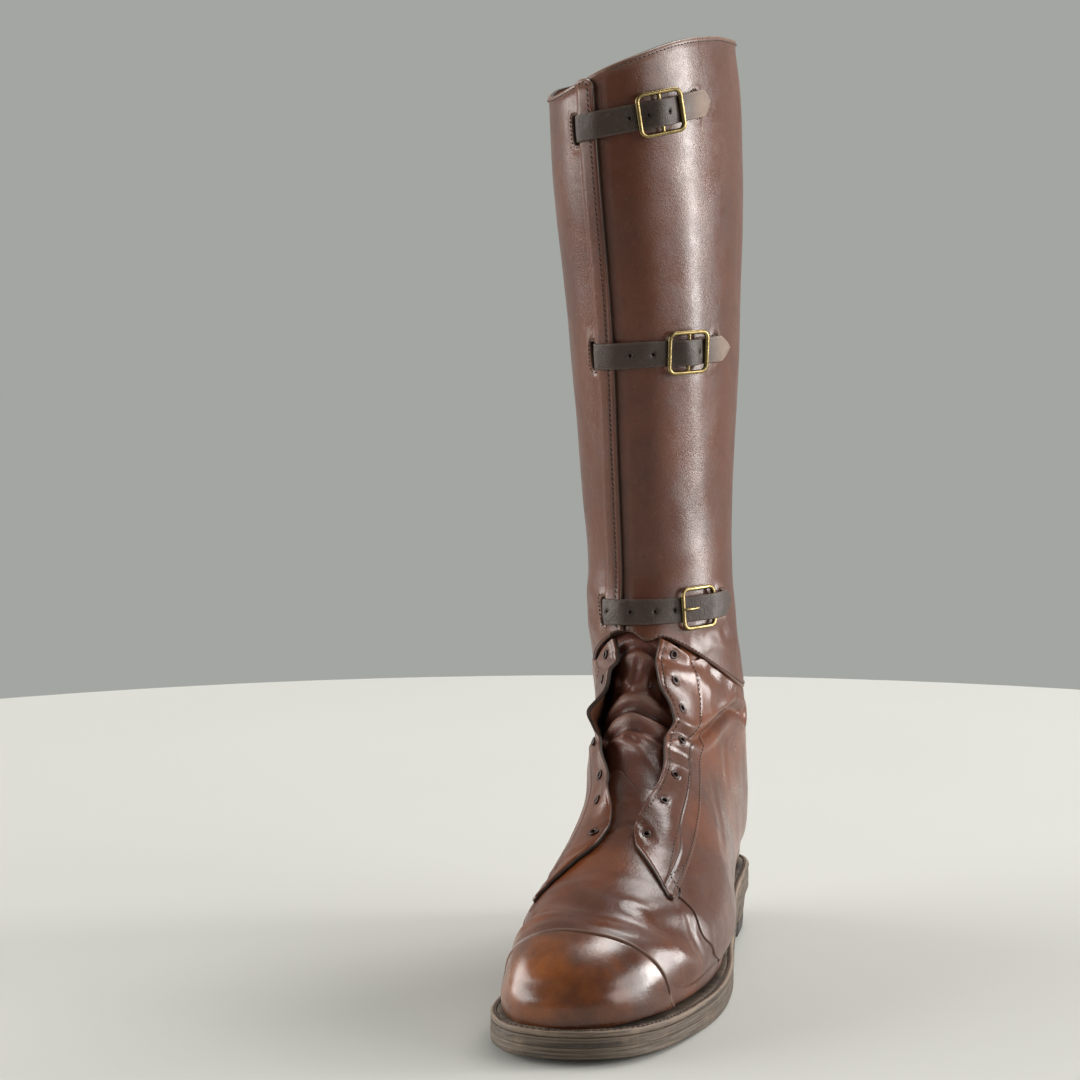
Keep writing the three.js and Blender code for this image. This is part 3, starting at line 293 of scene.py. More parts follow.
class Last:
    """The skin that the leather lies on: station runs from the toe to the rim, turn round it."""
    side_steps = 96

    def __init__(self, sizes):
        self.sizes = sizes
        self.length = sizes.sole_length
        self.width = sizes.ball_width
        joints = 1.2 * MM
        self.stack = sizes.outsole_thick + sizes.midsole_thick + sizes.welt_thick + joints
        self.rows = np.linspace(0.02, TOP_STATION, 401)
        turns = np.linspace(0, 1, self.side_steps + 1)
        self.girths = {}
        for side in (1, -1):
            points = self.skin(self.rows[:, None], side * turns[None, :])
            steps = np.linalg.norm(np.diff(points, axis=1), axis=-1)
            self.girths[side] = np.concatenate([np.zeros((len(self.rows), 1)), steps.cumsum(1)], 1)

    def underside(self, y):
        share = np.clip(y / self.length, SOLE_LINE[0, 0], SOLE_LINE[-1, 0])
        line = (spline(SOLE_LINE[:, 0], SOLE_LINE[:, 1], share) * self.sizes.toe_spring
                + spline(SOLE_LINE[:, 0], SOLE_LINE[:, 2], share) * self.sizes.heel_height)
        return np.maximum(line, 0)

    def height(self, y, rise):
        ankle, shaft = self.sizes.ankle_rise, self.sizes.shaft_rise
        up = np.where(rise <= 1, rise * ankle, ankle + (rise - 1) * shaft)
        return self.underside(y) + self.stack + up

    def skin(self, station, turn):
        station, turn = np.broadcast_arrays(np.asarray(station, float), np.asarray(turn, float))
        turn = (turn + 1) % 2 - 1
        (front_y, front_rise, back_y, back_rise, front_x, back_x, lateral, medial, widest,
         low, high) = [spline(STATIONS, SECTIONS[:, k], station) for k in range(11)]
        front_y, back_y = front_y * self.length, back_y * self.length
        front = np.stack([front_x * self.width, front_y, self.height(front_y, front_rise)], -1)
        back = np.stack([back_x * self.width, back_y, self.height(back_y, back_rise)], -1)
        c = -np.cos(turn * math.pi)
        power = 2 / np.where(c > 0, low, high)
        out = np.abs(np.sin(turn * math.pi)) ** power
        pull = np.abs(c) ** power
        along = np.where(c > 0, widest * (1 - pull), widest + (1 - widest) * pull)
        points = back + (front - back) * along[..., None]
        points[..., 0] += np.where(turn >= 0, lateral, -medial) * self.width * out
        return points

    def normal(self, station, turn):
        e = 1e-3
        across = self.skin(station, turn + e) - self.skin(station, turn - e)
        up = self.skin(station + e, turn) - self.skin(station - e, turn)
        return unit(np.cross(across, up))

    def off(self, station, turn, lift):
        lift = np.asarray(lift, float)
        return self.skin(station, turn) + self.normal(station, turn) * lift[..., None]

    def turn_of(self, u, station):
        """The turn at an arc length u from the front centre line, lateral positive."""
        u, station = np.broadcast_arrays(np.asarray(u, float), np.asarray(station, float))
        shape = u.shape
        u, station = u.ravel(), station.ravel()
        where = np.clip((station - self.rows[0]) / (self.rows[1] - self.rows[0]),
                        0, len(self.rows) - 1.001)
        row = where.astype(int)
        share = (where - row)[:, None]
        lateral = self.girths[1][row] * (1 - share) + self.girths[1][row + 1] * share
        medial = self.girths[-1][row] * (1 - share) + self.girths[-1][row + 1] * share
        sums = np.where((u >= 0)[:, None], lateral, medial)
        length = np.minimum(np.abs(u), sums[:, -1] * 0.9999)
        i = np.clip((sums < length[:, None]).sum(1), 1, self.side_steps)
        pick = np.arange(len(u))
        before, after = sums[pick, i - 1], sums[pick, i]
        turn = (i - 1 + (length - before) / np.maximum(after - before, 1e-9)) / self.side_steps
        return (np.where(u >= 0, 1, -1) * turn).reshape(shape)

    def half_girth(self, station, side):
        return np.interp(station, self.rows, self.girths[side][:, -1])

    def at(self, u, station, lift):
        return self.off(station, self.turn_of(u, station), lift)

    def station_at(self, u, z):
        """The station where the skin at u reaches a height, on the shaft."""
        u, z = np.broadcast_arrays(np.asarray(u, float), np.asarray(z, float))
        low, high = np.full(u.shape, 9.0), np.full(u.shape, float(TOP_STATION))
        for _ in range(22):
            middle = (low + high) / 2
            below = self.skin(middle, self.turn_of(u, middle))[..., 2] < z
            low, high = np.where(below, middle, low), np.where(below, high, middle)
        return (low + high) / 2

    def rim_station(self, turn):
        """Station of the collar's rim at each turn."""
        turn = (np.asarray(turn, float) + 1) % 2 - 1
        y = self.skin(TOP_STATION - 1, turn)[..., 1]
        z = self.height(y, spline(RIM_LINE[:, 0], RIM_LINE[:, 1], turn))
        low, high = np.full(turn.shape, 6.0), np.full(turn.shape, float(TOP_STATION))
        for _ in range(26):
            middle = (low + high) / 2
            below = self.skin(middle, turn)[..., 2] < z
            low, high = np.where(below, middle, low), np.where(below, high, middle)
        return (low + high) / 2

    def strap_height(self, strap, u):
        tip = strap["tip"] * self.width
        share = (u - SLOT_U) / (tip - SLOT_U)
        rise = strap["slot_rise"] + (strap["tip_rise"] - strap["slot_rise"]) * share
        ankle_y = -0.22 * self.length
        level = self.underside(ankle_y) + self.stack + self.sizes.ankle_rise
        return level + (rise - 1) * self.sizes.shaft_rise


INNER_GAP = 0.9 * MM
SLOT_U, SLOT_HALF = -17 * MM, 2.4 * MM
SLIT_U, FLY_EDGE_U = -12 * MM, -5 * MM
SHAFT_LIFT = 0.9 * MM
CAP_LIFT = 0.8 * MM
FLY_LIFT = 3.4 * MM


def throat(station, k):
    """A column of the throat's table at a station: 1 edge, 2 throat, 3 stitched line, 4 seam."""
    x = np.clip(station, THROAT_LINE[0, 0], THROAT_LINE[-1, 0])
    return spline(THROAT_LINE[:, 0], THROAT_LINE[:, k], x)


def cap_seam(u):
    """Station of the toe cap's seam, which runs back down the sides."""
    return 2.46 + 0.97 * np.minimum(np.abs(u) / (71 * MM), 1.6) ** 2.5


def shaft_edge(turn):
    """Station of the shaft's lower edge, which dips in the middle of the front."""
    turn = (np.asarray(turn, float) + 1) % 2 - 1
    return 11.1 + 2.5 * np.abs(turn) ** 1.6 - 0.5 * np.exp(-((turn - 0.045) / 0.05) ** 2)


def distances(points, line):
    """Distance from each point to a line of points in space."""
    flat = points.reshape(-1, 3)
    best = np.full(len(flat), 1e9)
    for a, b in zip(line[:-1], line[1:]):
        along = b - a
        t = np.clip((flat - a) @ along / max(along @ along, 1e-12), 0, 1)
        gap = flat - a - t[:, None] * along
        best = np.minimum(best, (gap * gap).sum(1))
    return np.sqrt(best).reshape(points.shape[:-1])


def crease_line(last, marks, steps=6):
    """Points in space along a crease's marks, smoothed between them."""
    marks = np.array(marks, float)
    k = np.arange(len(marks))
    t = np.linspace(0, len(marks) - 1, steps * (len(marks) - 1) + 1)
    u = spline(k, marks[:, 0], t) if len(marks) > 2 else np.interp(t, k, marks[:, 0])
    s = spline(k, marks[:, 1], t) if len(marks) > 2 else np.interp(t, k, marks[:, 1])
    return last.at(u * last.width, s, np.zeros(len(t)))


def creased(last, points, creases):
    """How far the creases press the leather in (negative) or raise it."""
    lift = np.zeros(points.shape[:-1])
    for depth, width, marks in creases:
        line = crease_line(last, marks)
        d = distances(points, line) / (width * MM)
        ends = np.linalg.norm(points[..., None, :] - line[[0, -1]], axis=-1).min(-1)
        fade = smooth(0.0, 2.4 * width * MM, ends)
        lift -= depth * MM * np.exp(-d * d) * (0.35 + 0.65 * fade)
        if depth > 0:
            lift += 0.35 * depth * MM * np.exp(-((d - 1.9) / 0.8) ** 2) * fade
    return lift


def waves(points, size, seed):
    """Gentle unevenness from a few seeded waves, from -1 to 1, about size across."""
    rng = np.random.default_rng(seed)
    total = np.zeros(points.shape[:-1])
    for _ in range(9):
        direction = unit(rng.normal(size=3))
        length = size * rng.uniform(0.6, 1.8)
        total += np.sin(points @ direction * 2 * math.pi / length + rng.uniform(0, 2 * math.pi))
    return total / 4.5


def new_object(name, points, faces, materials, indices=None, fields=None):
    """A mesh object from points in metres and faces, riding on the boot's body."""
    mesh = bpy.data.meshes.new(name)
    mesh.from_pydata(points.tolist(), [], [tuple(f) for f in faces])
    mesh.polygons.foreach_set("use_smooth", np.ones(len(mesh.polygons), bool))
    for material in materials:
        mesh.materials.append(material)
    if indices is not None:
        mesh.polygons.foreach_set("material_index", np.asarray(indices, np.int32))
    for label, values in (fields or {}).items():
        attribute = mesh.attributes.new(label, "FLOAT", "POINT")
        attribute.data.foreach_set("value", np.asarray(values, np.float32))
    mesh.update()
    piece = bpy.data.objects.new(name, mesh)
    bpy.context.scene.collection.objects.link(piece)
    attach(piece, "root")
    return piece


def sheet(name, outer, inner, materials, keep=None, wrap=False, fields=None, sewn=False):
    """A closed sheet between two grids of points; keep says which cells are leather. The first
    row of a sewn one is drawn together, left to right, and has no edge."""
    rows, columns = outer.shape[:2]
    cells = columns if wrap else columns - 1
    if sewn:
        mirror = (-np.arange(columns)) % columns
        outer[0] = (outer[0] + outer[0][mirror]) / 2
        inner[0] = (inner[0] + inner[0][mirror]) / 2
    if keep is None:
        keep = np.ones((rows - 1, cells), bool)
    index = np.arange(rows * columns).reshape(rows, columns)
    right = np.roll(index, -1, 1) if wrap else index[:, 1:]
    left = index if wrap else index[:, :-1]
    quads = np.stack([left[:-1], right[:-1], right[1:], left[1:]], -1)[keep]
    count = rows * columns
    inside = quads[:, ::-1] + count
    edges = np.concatenate([quads[:, [k, (k + 1) % 4]] for k in range(4)])
    keys = np.sort(edges, 1)
    order = keys[:, 0] * count + keys[:, 1]
    _, first, counts = np.unique(order, return_index=True, return_counts=True)
    border = edges[first[counts == 1]]
    if sewn:
        border = border[(border >= columns).any(1)]
    walls = np.stack([border[:, 1], border[:, 0], border[:, 0] + count, border[:, 1] + count], -1)
    faces = np.concatenate([quads, inside, walls])
    kinds = np.concatenate([np.zeros(len(quads)), np.ones(len(inside)), np.full(len(walls), 2)])
    points = np.concatenate([outer.reshape(-1, 3), inner.reshape(-1, 3)])
    used, compact = np.unique(faces, return_inverse=True)
    compact = compact.reshape(faces.shape)
    kinds = np.minimum(kinds, len(materials) - 1)
    picked = {label: np.concatenate([v.ravel(), v.ravel()])[used] for label, v in (fields or {}).items()}
    piece = new_object(name, points[used], compact, materials, kinds, picked)
    if sewn:
        work = bmesh.new()
        work.from_mesh(piece.data)
        ends = [v for v in work.verts if v.is_boundary]
        bmesh.ops.remove_doubles(work, verts=ends, dist=1e-6)
        work.to_mesh(piece.data)
        work.free()
    return piece


def bell(distance, place, width):
    """A rounded bump of height one over a distance; its place and width are in millimetres."""
    return np.exp(-((distance - place * MM) / (width * MM)) ** 2)


def spread(values, other):
    """Values, repeated over the grid that they make with the other ones."""
    return values + np.zeros_like(other)


def lengths(points):
    """Arc lengths from the four borders of a grid: left, right, low and high."""
    across = np.linalg.norm(np.diff(points, axis=1), axis=-1)
    up = np.linalg.norm(np.diff(points, axis=0), axis=-1)
    left = np.concatenate([np.zeros((len(points), 1)), across.cumsum(1)], 1)
    low = np.concatenate([np.zeros((1, points.shape[1])), up.cumsum(0)], 0)
    return left, left[:, -1:] - left, low, low[-1:] - low


def rounding(distance, radius):
    """How far a rounded edge falls away at a distance from it."""
    d = np.clip(distance / radius, 0, 1)
    return radius * (1 - np.sqrt(np.maximum(0, 1 - (1 - d) ** 2)))


def spaced(count, length, fine=(0.25, 0.6, 1.1, 1.9)):
    """Shares from 0 to 1 for a run of a length, with closer ones at both ends."""
    ends = np.array(fine) * MM / length
    inner = np.linspace(ends[-1], 1 - ends[-1], max(count - 2 * len(fine), 2))
    return np.unique(np.concatenate([[0], ends, inner, 1 - ends, [1]]))


def punch(points, keep, centre, normal, measure):
    """Opens a hole: measure gives each point's share of the way from the centre to its edge,
    and the cells within are dropped while their rim is drawn onto the edge."""
    offset = points - centre
    flat = offset - (offset @ normal)[..., None] * normal
    share = measure(flat)
    near = np.abs(offset @ normal) < 8 * MM
    middle = (share[:-1, :-1] + share[1:, :-1] + share[:-1, 1:] + share[1:, 1:]) / 4
    close = near[:-1, :-1] & near[1:, 1:]
    dropped = (middle < 1) & close
    keep &= ~dropped
    touched = np.zeros(share.shape, bool)
    rest = np.zeros(share.shape, bool)
    for i in (0, 1):
        for j in (0, 1):
            rows = slice(i, i + dropped.shape[0])
            columns = slice(j, j + dropped.shape[1])
            touched[rows, columns] |= dropped
            rest[rows, columns] |= keep
    rim = touched & rest
    scale = np.where(rim, 1 / np.maximum(share, 0.15), 1.0)
    return flat * (scale - 1)[..., None], keep


def round_hole(radius):
    return lambda flat: np.linalg.norm(flat, axis=-1) / radius


def slot_hole(across, up, half_u, half_z):
    """A slot with rounded ends, as a measure for punch."""
    def measure(flat):
        a, b = np.abs(flat @ across) / half_u, np.abs(flat @ up) / half_z
        return (a**4 + b**4) ** 0.25
    return measure


def sweep(path, normals, radius_out, radius_up, sides=14, closed=True):
    """Points and faces of a bar along a path; its section is an ellipse."""
    count = len(path)
    ahead = np.roll(path, -1, 0) - np.roll(path, 1, 0)
    if not closed:
        ahead[0], ahead[-1] = path[1] - path[0], path[-1] - path[-2]
    side = unit(np.cross(unit(ahead), normals))
    lift = unit(np.cross(side, unit(ahead)))
    angle = np.linspace(0, 2 * math.pi, sides, endpoint=False)
    radius_out = np.broadcast_to(radius_out, count)[:, None, None]
    radius_up = np.broadcast_to(radius_up, count)[:, None, None]
    ring = (path[:, None] + side[:, None] * np.cos(angle)[None, :, None] * radius_out
            + lift[:, None] * np.sin(angle)[None, :, None] * radius_up)
    points = ring.reshape(-1, 3)
    faces = []
    for r in range(count if closed else count - 1):
        for k in range(sides):
            a, b = r * sides + k, r * sides + (k + 1) % sides
            c, d = (r + 1) % count * sides + (k + 1) % sides, (r + 1) % count * sides + k
            faces.append((a, b, c, d))
    if not closed:
        faces.append(tuple(range(sides))[::-1])
        faces.append(tuple((count - 1) * sides + k for k in range(sides)))
    return points, faces


def outward(points, faces):
    """Turns every face outwards, by the closed mesh's volume."""
    volume = 0
    for f in faces[:: max(1, len(faces) // 4000)]:
        a, b, c = points[f[0]], points[f[1]], points[f[2]]
        volume += a @ np.cross(b, c)
    return faces if volume >= 0 else [tuple(f)[::-1] for f in faces]


def stitches(name, runs, material, pitch, length, radius, slant=0.0, sink=0.25):
    """Rows of thread: each run is a line of points with its normals."""
    rings = [(-0.5, 0.15), (-0.38, 0.75), (-0.12, 1.0), (0.12, 1.0), (0.38, 0.75), (0.5, 0.15)]
    sides = 6
    all_points, all_faces, start = [], [], 0
    for line, normals in runs:
        steps = np.linalg.norm(np.diff(line, axis=0), axis=1)
        run = np.concatenate([[0], steps.cumsum()])
        count = int(run[-1] / pitch)
        if count < 1:
            continue
        places = (np.arange(count) + 0.5) * run[-1] / count
        centre = np.stack([np.interp(places, run, line[:, k]) for k in range(3)], -1)
        ahead = np.stack([np.interp(np.minimum(places + 0.3 * MM, run[-1]), run, line[:, k])
                          for k in range(3)], -1)
        behind = np.stack([np.interp(np.maximum(places - 0.3 * MM, 0), run, line[:, k])
                           for k in range(3)], -1)
        n = unit(np.stack([np.interp(places, run, normals[:, k]) for k in range(3)], -1))
        t = unit(ahead - behind)
        t = unit(t - (t * n).sum(1, keepdims=True) * n)
        b = np.cross(n, t)
        t, b = (t * math.cos(slant) + b * math.sin(slant), b * math.cos(slant) - t * math.sin(slant))
        centre = centre + n * radius * (0.5 - sink)
        angle = np.linspace(0, 2 * math.pi, sides, endpoint=False)
        for p, tt, bb, nn in zip(centre, t, b, n):
            for along, fat in rings:
                bow = nn * radius * (0.35 - 1.4 * along * along)
                base = p + tt * along * length + bow
                for a in angle:
                    all_points.append(base + (bb * math.cos(a) + nn * math.sin(a)) * radius * fat)
            for r in range(len(rings) - 1):
                for k in range(sides):
                    a0, b0 = start + r * sides + k, start + r * sides + (k + 1) % sides
                    all_faces.append((a0, b0, b0 + sides, a0 + sides))
            all_faces.append(tuple(start + k for k in range(sides))[::-1])
            end = start + (len(rings) - 1) * sides
            all_faces.append(tuple(end + k for k in range(sides)))
            start += len(rings) * sides
    return new_object(name, np.array(all_points), all_faces, [material])


# Materials

def nodes_of(name):
    """A new material with its tree, shader and object coordinates."""
    material = bpy.data.materials.new(name)
    material.use_nodes = True
    tree = material.node_tree
    shader = tree.nodes["Principled BSDF"]
    place = tree.nodes.new("ShaderNodeTexCoord").outputs["Object"]
    return material, tree, shader, place


def noise(tree, place, scale, detail=3.0, rough=0.55, stretch=None):
    node = tree.nodes.new("ShaderNodeTexNoise")
    node.inputs["Scale"].default_value = scale
    node.inputs["Detail"].default_value = detail
    node.inputs["Roughness"].default_value = rough
    if stretch is not None:
        mapping = tree.nodes.new("ShaderNodeMapping")
        mapping.inputs["Scale"].default_value = stretch
        tree.links.new(place, mapping.inputs["Vector"])
        place = mapping.outputs["Vector"]
    tree.links.new(place, node.inputs["Vector"])
    return node.outputs["Fac"]


def ramp(tree, value, low, high, to_low=0.0, to_high=1.0):
    """A share from to_low to to_high as the value goes from low to high."""
    node = tree.nodes.new("ShaderNodeMapRange")
    node.interpolation_type = "SMOOTHSTEP"
    node.inputs["From Min"].default_value = low
    node.inputs["From Max"].default_value = high
    node.inputs["To Min"].default_value = to_low
    node.inputs["To Max"].default_value = to_high
    tree.links.new(value, node.inputs["Value"])
    return node.outputs["Result"]


def mix(tree, share, a, b, kind="MIX"):
    """Mixes two colours, each a socket or a plain colour."""
    node = tree.nodes.new("ShaderNodeMix")
    node.data_type = "RGBA"
    node.blend_type = kind
    for socket, value in ((node.inputs[0], share), (node.inputs[6], a), (node.inputs[7], b)):
        if isinstance(value, bpy.types.NodeSocket):
            tree.links.new(value, socket)
        elif isinstance(value, float):
            socket.default_value = value
        else:
            socket.default_value = (*value[:3], 1)
    return node.outputs[2]


def math_node(tree, operation, a, b):
    node = tree.nodes.new("ShaderNodeMath")
    node.operation = operation
    for socket, value in zip(node.inputs, (a, b)):
        if isinstance(value, bpy.types.NodeSocket):
            tree.links.new(value, socket)
        else:
            socket.default_value = value
    return node.outputs[0]


def field(tree, name):
    """A value painted on the mesh's points."""
    node = tree.nodes.new("ShaderNodeAttribute")
    node.attribute_name = name
    return node.outputs["Fac"]


def bump(tree, shader, height, strength, distance, before=None):
    node = tree.nodes.new("ShaderNodeBump")
    node.inputs["Strength"].default_value = strength
    node.inputs["Distance"].default_value = distance
    tree.links.new(height, node.inputs["Height"])
    if before is not None:
        tree.links.new(before, node.inputs["Normal"])
    tree.links.new(node.outputs["Normal"], shader.inputs["Normal"])
    return node.outputs["Normal"]


def pebbles(tree, place, scale):
    """The round grains of leather."""
    warp = tree.nodes.new("ShaderNodeTexNoise")
    warp.inputs["Scale"].default_value = scale * 0.6
    warp.inputs["Detail"].default_value = 2
    tree.links.new(place, warp.inputs["Vector"])
    moved = tree.nodes.new("ShaderNodeMix")
    moved.data_type = "VECTOR"
    moved.inputs[0].default_value = 0.0012
    tree.links.new(place, moved.inputs[4])
    tree.links.new(warp.outputs["Color"], moved.inputs[5])
    cells = tree.nodes.new("ShaderNodeTexVoronoi")
    cells.feature = "SMOOTH_F1"
    cells.inputs["Scale"].default_value = scale
    cells.inputs["Smoothness"].default_value = 0.6
    tree.links.new(moved.outputs[1], cells.inputs["Vector"])
    return cells.outputs["Distance"]


def leather(name, main, dark, worn, rough, coat=0.0, grain=900, grain_depth=0.5, mottle=0.5, polish=None):
    """Leather: darker patches of tone, rubbed edges, painted shade in folds, grooves and joints, round
    grains and fine pores.
    """
    material, tree, shader, place = nodes_of(name)
    patches = noise(tree, place, 16, 4, 0.6)
    clouds = noise(tree, place, 75, 5, 0.65)
    specks = noise(tree, place, 420, 3, 0.6)
    base = mix(tree, ramp(tree, patches, 0.35, 0.68, 0.0, mottle), main, dark)
    base = mix(tree, ramp(tree, clouds, 0.42, 0.72, 0.0, mottle * 0.8), base, dark)
    if polish is not None:
        base = mix(tree, ramp(tree, patches, 0.62, 0.30, 0.0, 0.6), base, polish)
    base = mix(tree, ramp(tree, specks, 0.55, 0.8, 0.0, 0.16), base, worn)
    rubbed = math_node(tree, "MULTIPLY", field(tree, "wear"), ramp(tree, clouds, 0.25, 0.6, 0.45, 1.0))
    base = mix(tree, rubbed, base, worn)
    # Painted shade: the field darkens the colour in creases, grooves, joints and corners.
    shade = math_node(tree, "MULTIPLY", field(tree, "painted_shade"), 0.8)
    base = mix(tree, shade, base, [c * 0.35 for c in dark])
    tree.links.new(base, shader.inputs["Base Color"])
    uneven = ramp(tree, clouds, 0.3, 0.7, rough - 0.06, rough + 0.08)
    rougher = math_node(tree, "MULTIPLY", field(tree, "wear"), 0.18)
    tree.links.new(math_node(tree, "ADD", uneven, rougher), shader.inputs["Roughness"])
    shader.inputs["Specular IOR Level"].default_value = 0.5
    shader.inputs["Coat Weight"].default_value = coat
    shader.inputs["Coat Roughness"].default_value = 0.22
    cells = pebbles(tree, place, grain)
    first = bump(tree, shader, cells, grain_depth, 0.00035)
    pores = noise(tree, place, grain * 2.3, 3, 0.6)
    second = bump(tree, shader, pores, grain_depth * 0.5, 0.00018, first)
    bump(tree, shader, clouds, 0.25, 0.0010, second)
    return material


def raw_edge(name, main, dark):
    """The cut edge of leather: fibrous, dull and streaked."""
    material, tree, shader, place = nodes_of(name)
    fibres = noise(tree, place, 900, 4, 0.7)
    clouds = noise(tree, place, 90, 3, 0.6)
    base = mix(tree, ramp(tree, fibres, 0.3, 0.7), dark, main)
    base = mix(tree, ramp(tree, clouds, 0.4, 0.7, 0.0, 0.5), base, [c * 1.6 for c in main])
    tree.links.new(base, shader.inputs["Base Color"])
    shader.inputs["Roughness"].default_value = 0.72
    bump(tree, shader, fibres, 0.5, 0.0004)
    return material


def sole_edge(name, main, dark, streak=1.0):
    """The weathered edge of a sole: long level streaks, scuffs and painted shade in its joints and grooves.
    """
    material, tree, shader, place = nodes_of(name)
    streaks = noise(tree, place, 60, 5, 0.7, (0.35, 0.35, 22 * streak))
    fine = noise(tree, place, 260, 4, 0.7, (0.4, 0.4, 9 * streak))
    scuffs = noise(tree, place, 55, 6, 0.7)
    base = mix(tree, ramp(tree, streaks, 0.36, 0.62), dark, main)
    base = mix(tree, ramp(tree, fine, 0.5, 0.72, 0.0, 0.55), base, dark)
    base = mix(tree, ramp(tree, scuffs, 0.52, 0.75, 0.0, 0.65), base, [min(1, c * 1.7) for c in main])
    base = mix(tree, field(tree, "wear"), base, [min(1, c * 1.9) for c in main])
    # Painted shade: darker in the joints, grooves and parts under the upper that the field marks.
    base = mix(tree, field(tree, "painted_shade"), base, [c * 0.6 for c in dark])
    tree.links.new(base, shader.inputs["Base Color"])
    tree.links.new(ramp(tree, scuffs, 0.3, 0.7, 0.5, 0.75), shader.inputs["Roughness"])
    first = bump(tree, shader, streaks, 0.6, 0.0006)
    bump(tree, shader, fine, 0.5, 0.0004, first)
    return material


def lacquer(name, main):
    """Dark lacquer on a rolled eyelet, rubbed here and there."""
    material, tree, shader, place = nodes_of(name)
    rubs = noise(tree, place, 600, 4, 0.6)
    base = mix(tree, ramp(tree, rubs, 0.5, 0.75, 0.0, 0.7), [c * 0.7 for c in main], [c * 3 for c in main])
    tree.links.new(base, shader.inputs["Base Color"])
    tree.links.new(ramp(tree, rubs, 0.3, 0.7, 0.28, 0.5), shader.inputs["Roughness"])
    bump(tree, shader, rubs, 0.2, 0.0002)
    return material


def metal(name, main):
    """Rubbed brass with a duller film in patches."""
    material, tree, shader, place = nodes_of(name)
    film = noise(tree, place, 180, 5, 0.65)
    scratches = noise(tree, place, 900, 3, 0.6, (1, 1, 0.2))
    base = mix(tree, ramp(tree, film, 0.38, 0.68, 0.0, 0.7), main, [c * 0.42 for c in main])
    tree.links.new(base, shader.inputs["Base Color"])
    shader.inputs["Metallic"].default_value = 1.0
    tree.links.new(ramp(tree, film, 0.3, 0.7, 0.22, 0.42), shader.inputs["Roughness"])
    bump(tree, shader, scratches, 0.15, 0.0001)
    return material


def thread_material(name, main):
    """Waxed thread, twisted along each stitch."""
    material, tree, shader, place = nodes_of(name)
    fibres = noise(tree, place, 2600, 2, 0.6)
    light = [min(1, c * 1.5) for c in main]
    base = mix(tree, ramp(tree, fibres, 0.35, 0.65), [c * 0.6 for c in main], light)
    tree.links.new(base, shader.inputs["Base Color"])
    shader.inputs["Roughness"].default_value = 0.6
    bump(tree, shader, fibres, 0.4, 0.0002)
    return material


def rubber_material(name, main):
    material, tree, shader, place = nodes_of(name)
    dust = noise(tree, place, 140, 5, 0.7)
    base = mix(tree, ramp(tree, dust, 0.45, 0.75, 0.0, 0.5), main, [min(1, c * 3.5) for c in main])
    tree.links.new(base, shader.inputs["Base Color"])
    shader.inputs["Roughness"].default_value = 0.75
    bump(tree, shader, dust, 0.3, 0.0005)
    return material


def webbing_material(name, main):
    """Woven tape: ribs across it, with a little wear."""
    material, tree, shader, place = nodes_of(name)
    ribs = tree.nodes.new("ShaderNodeTexWave")
    ribs.wave_type = "BANDS"
    ribs.bands_direction = "Z"
    ribs.inputs["Scale"].default_value = 260
    ribs.inputs["Distortion"].default_value = 1.2
    ribs.inputs["Detail Scale"].default_value = 2
    tree.links.new(place, ribs.inputs["Vector"])
    fibres = noise(tree, place, 1500, 3, 0.6)
    base = mix(tree, ramp(tree, ribs.outputs["Fac"], 0.2, 0.8), [c * 0.55 for c in main], main)
    base = mix(tree, ramp(tree, fibres, 0.45, 0.7, 0.0, 0.4), base, [min(1, c * 1.5) for c in main])
    tree.links.new(base, shader.inputs["Base Color"])
    shader.inputs["Roughness"].default_value = 0.85
    first = bump(tree, shader, ribs.outputs["Fac"], 0.8, 0.0004)
    bump(tree, shader, fibres, 0.4, 0.0002, first)
    return material


def finish_of(key):
    """The boot's finishes by name, each made once."""
    name = key
    if name in bpy.data.materials:
        return bpy.data.materials[name]
    c = bpy.context.scene.boot_colours
    dark = tuple(c.leather_dark)
    makers = {
        "saddle leather": lambda: leather(name, c.leather, dark, c.leather_worn, 0.33, 0.10, 1500, 0.16),
        "foot leather": lambda: leather(name, c.leather, dark, c.leather_worn, 0.31, 0.15, 1300, 0.16,
                                        0.55, tuple(c.cap)),
        "polished cap leather": lambda: leather(name, c.cap, c.cap_dark, c.leather_worn, 0.27, 0.35,
                                                1700, 0.10, 0.8, (0.32, 0.10, 0.016)),
        "tongue leather": lambda: leather(name, c.tongue, (0.045, 0.012, 0.007), c.leather_worn, 0.42,
                                          0.0, 1200, 0.35),
        "lining leather": lambda: leather(name, c.lining, (0.16, 0.065, 0.035), c.leather_worn, 0.6,
                                          0.0, 1500, 0.3),
        "cut edge": lambda: raw_edge(name, c.cut_edge, [x * 0.5 for x in c.cut_edge]),
        "strap leather": lambda: leather(name, c.strap, [x * 0.5 for x in c.strap], c.strap_worn, 0.52,
                                         0.0, 1500, 0.4, 0.5),
        "eyelet lacquer": lambda: lacquer(name, dark),
        "buckle brass": lambda: metal(name, c.brass),
        "waxed thread": lambda: thread_material(name, c.thread),
        "welt thread": lambda: thread_material(name, [x * 1.3 for x in c.thread]),
        "sole edge leather": lambda: sole_edge(name, c.sole, c.sole_dark),
        "welt leather": lambda: sole_edge(name, c.welt, c.sole_dark, 0.4),
        "heel leather": lambda: sole_edge(name, c.sole, c.sole_dark, 1.5),
        "heel rubber": lambda: rubber_material(name, c.rubber),
        "insole leather": lambda: leather(name, c.insole, (0.16, 0.08, 0.04), c.leather_worn, 0.65,
                                          0.0, 1300, 0.3),
        "pull loop webbing": lambda: webbing_material(name, c.webbing),
    }
    return makers[key]()


# The sole

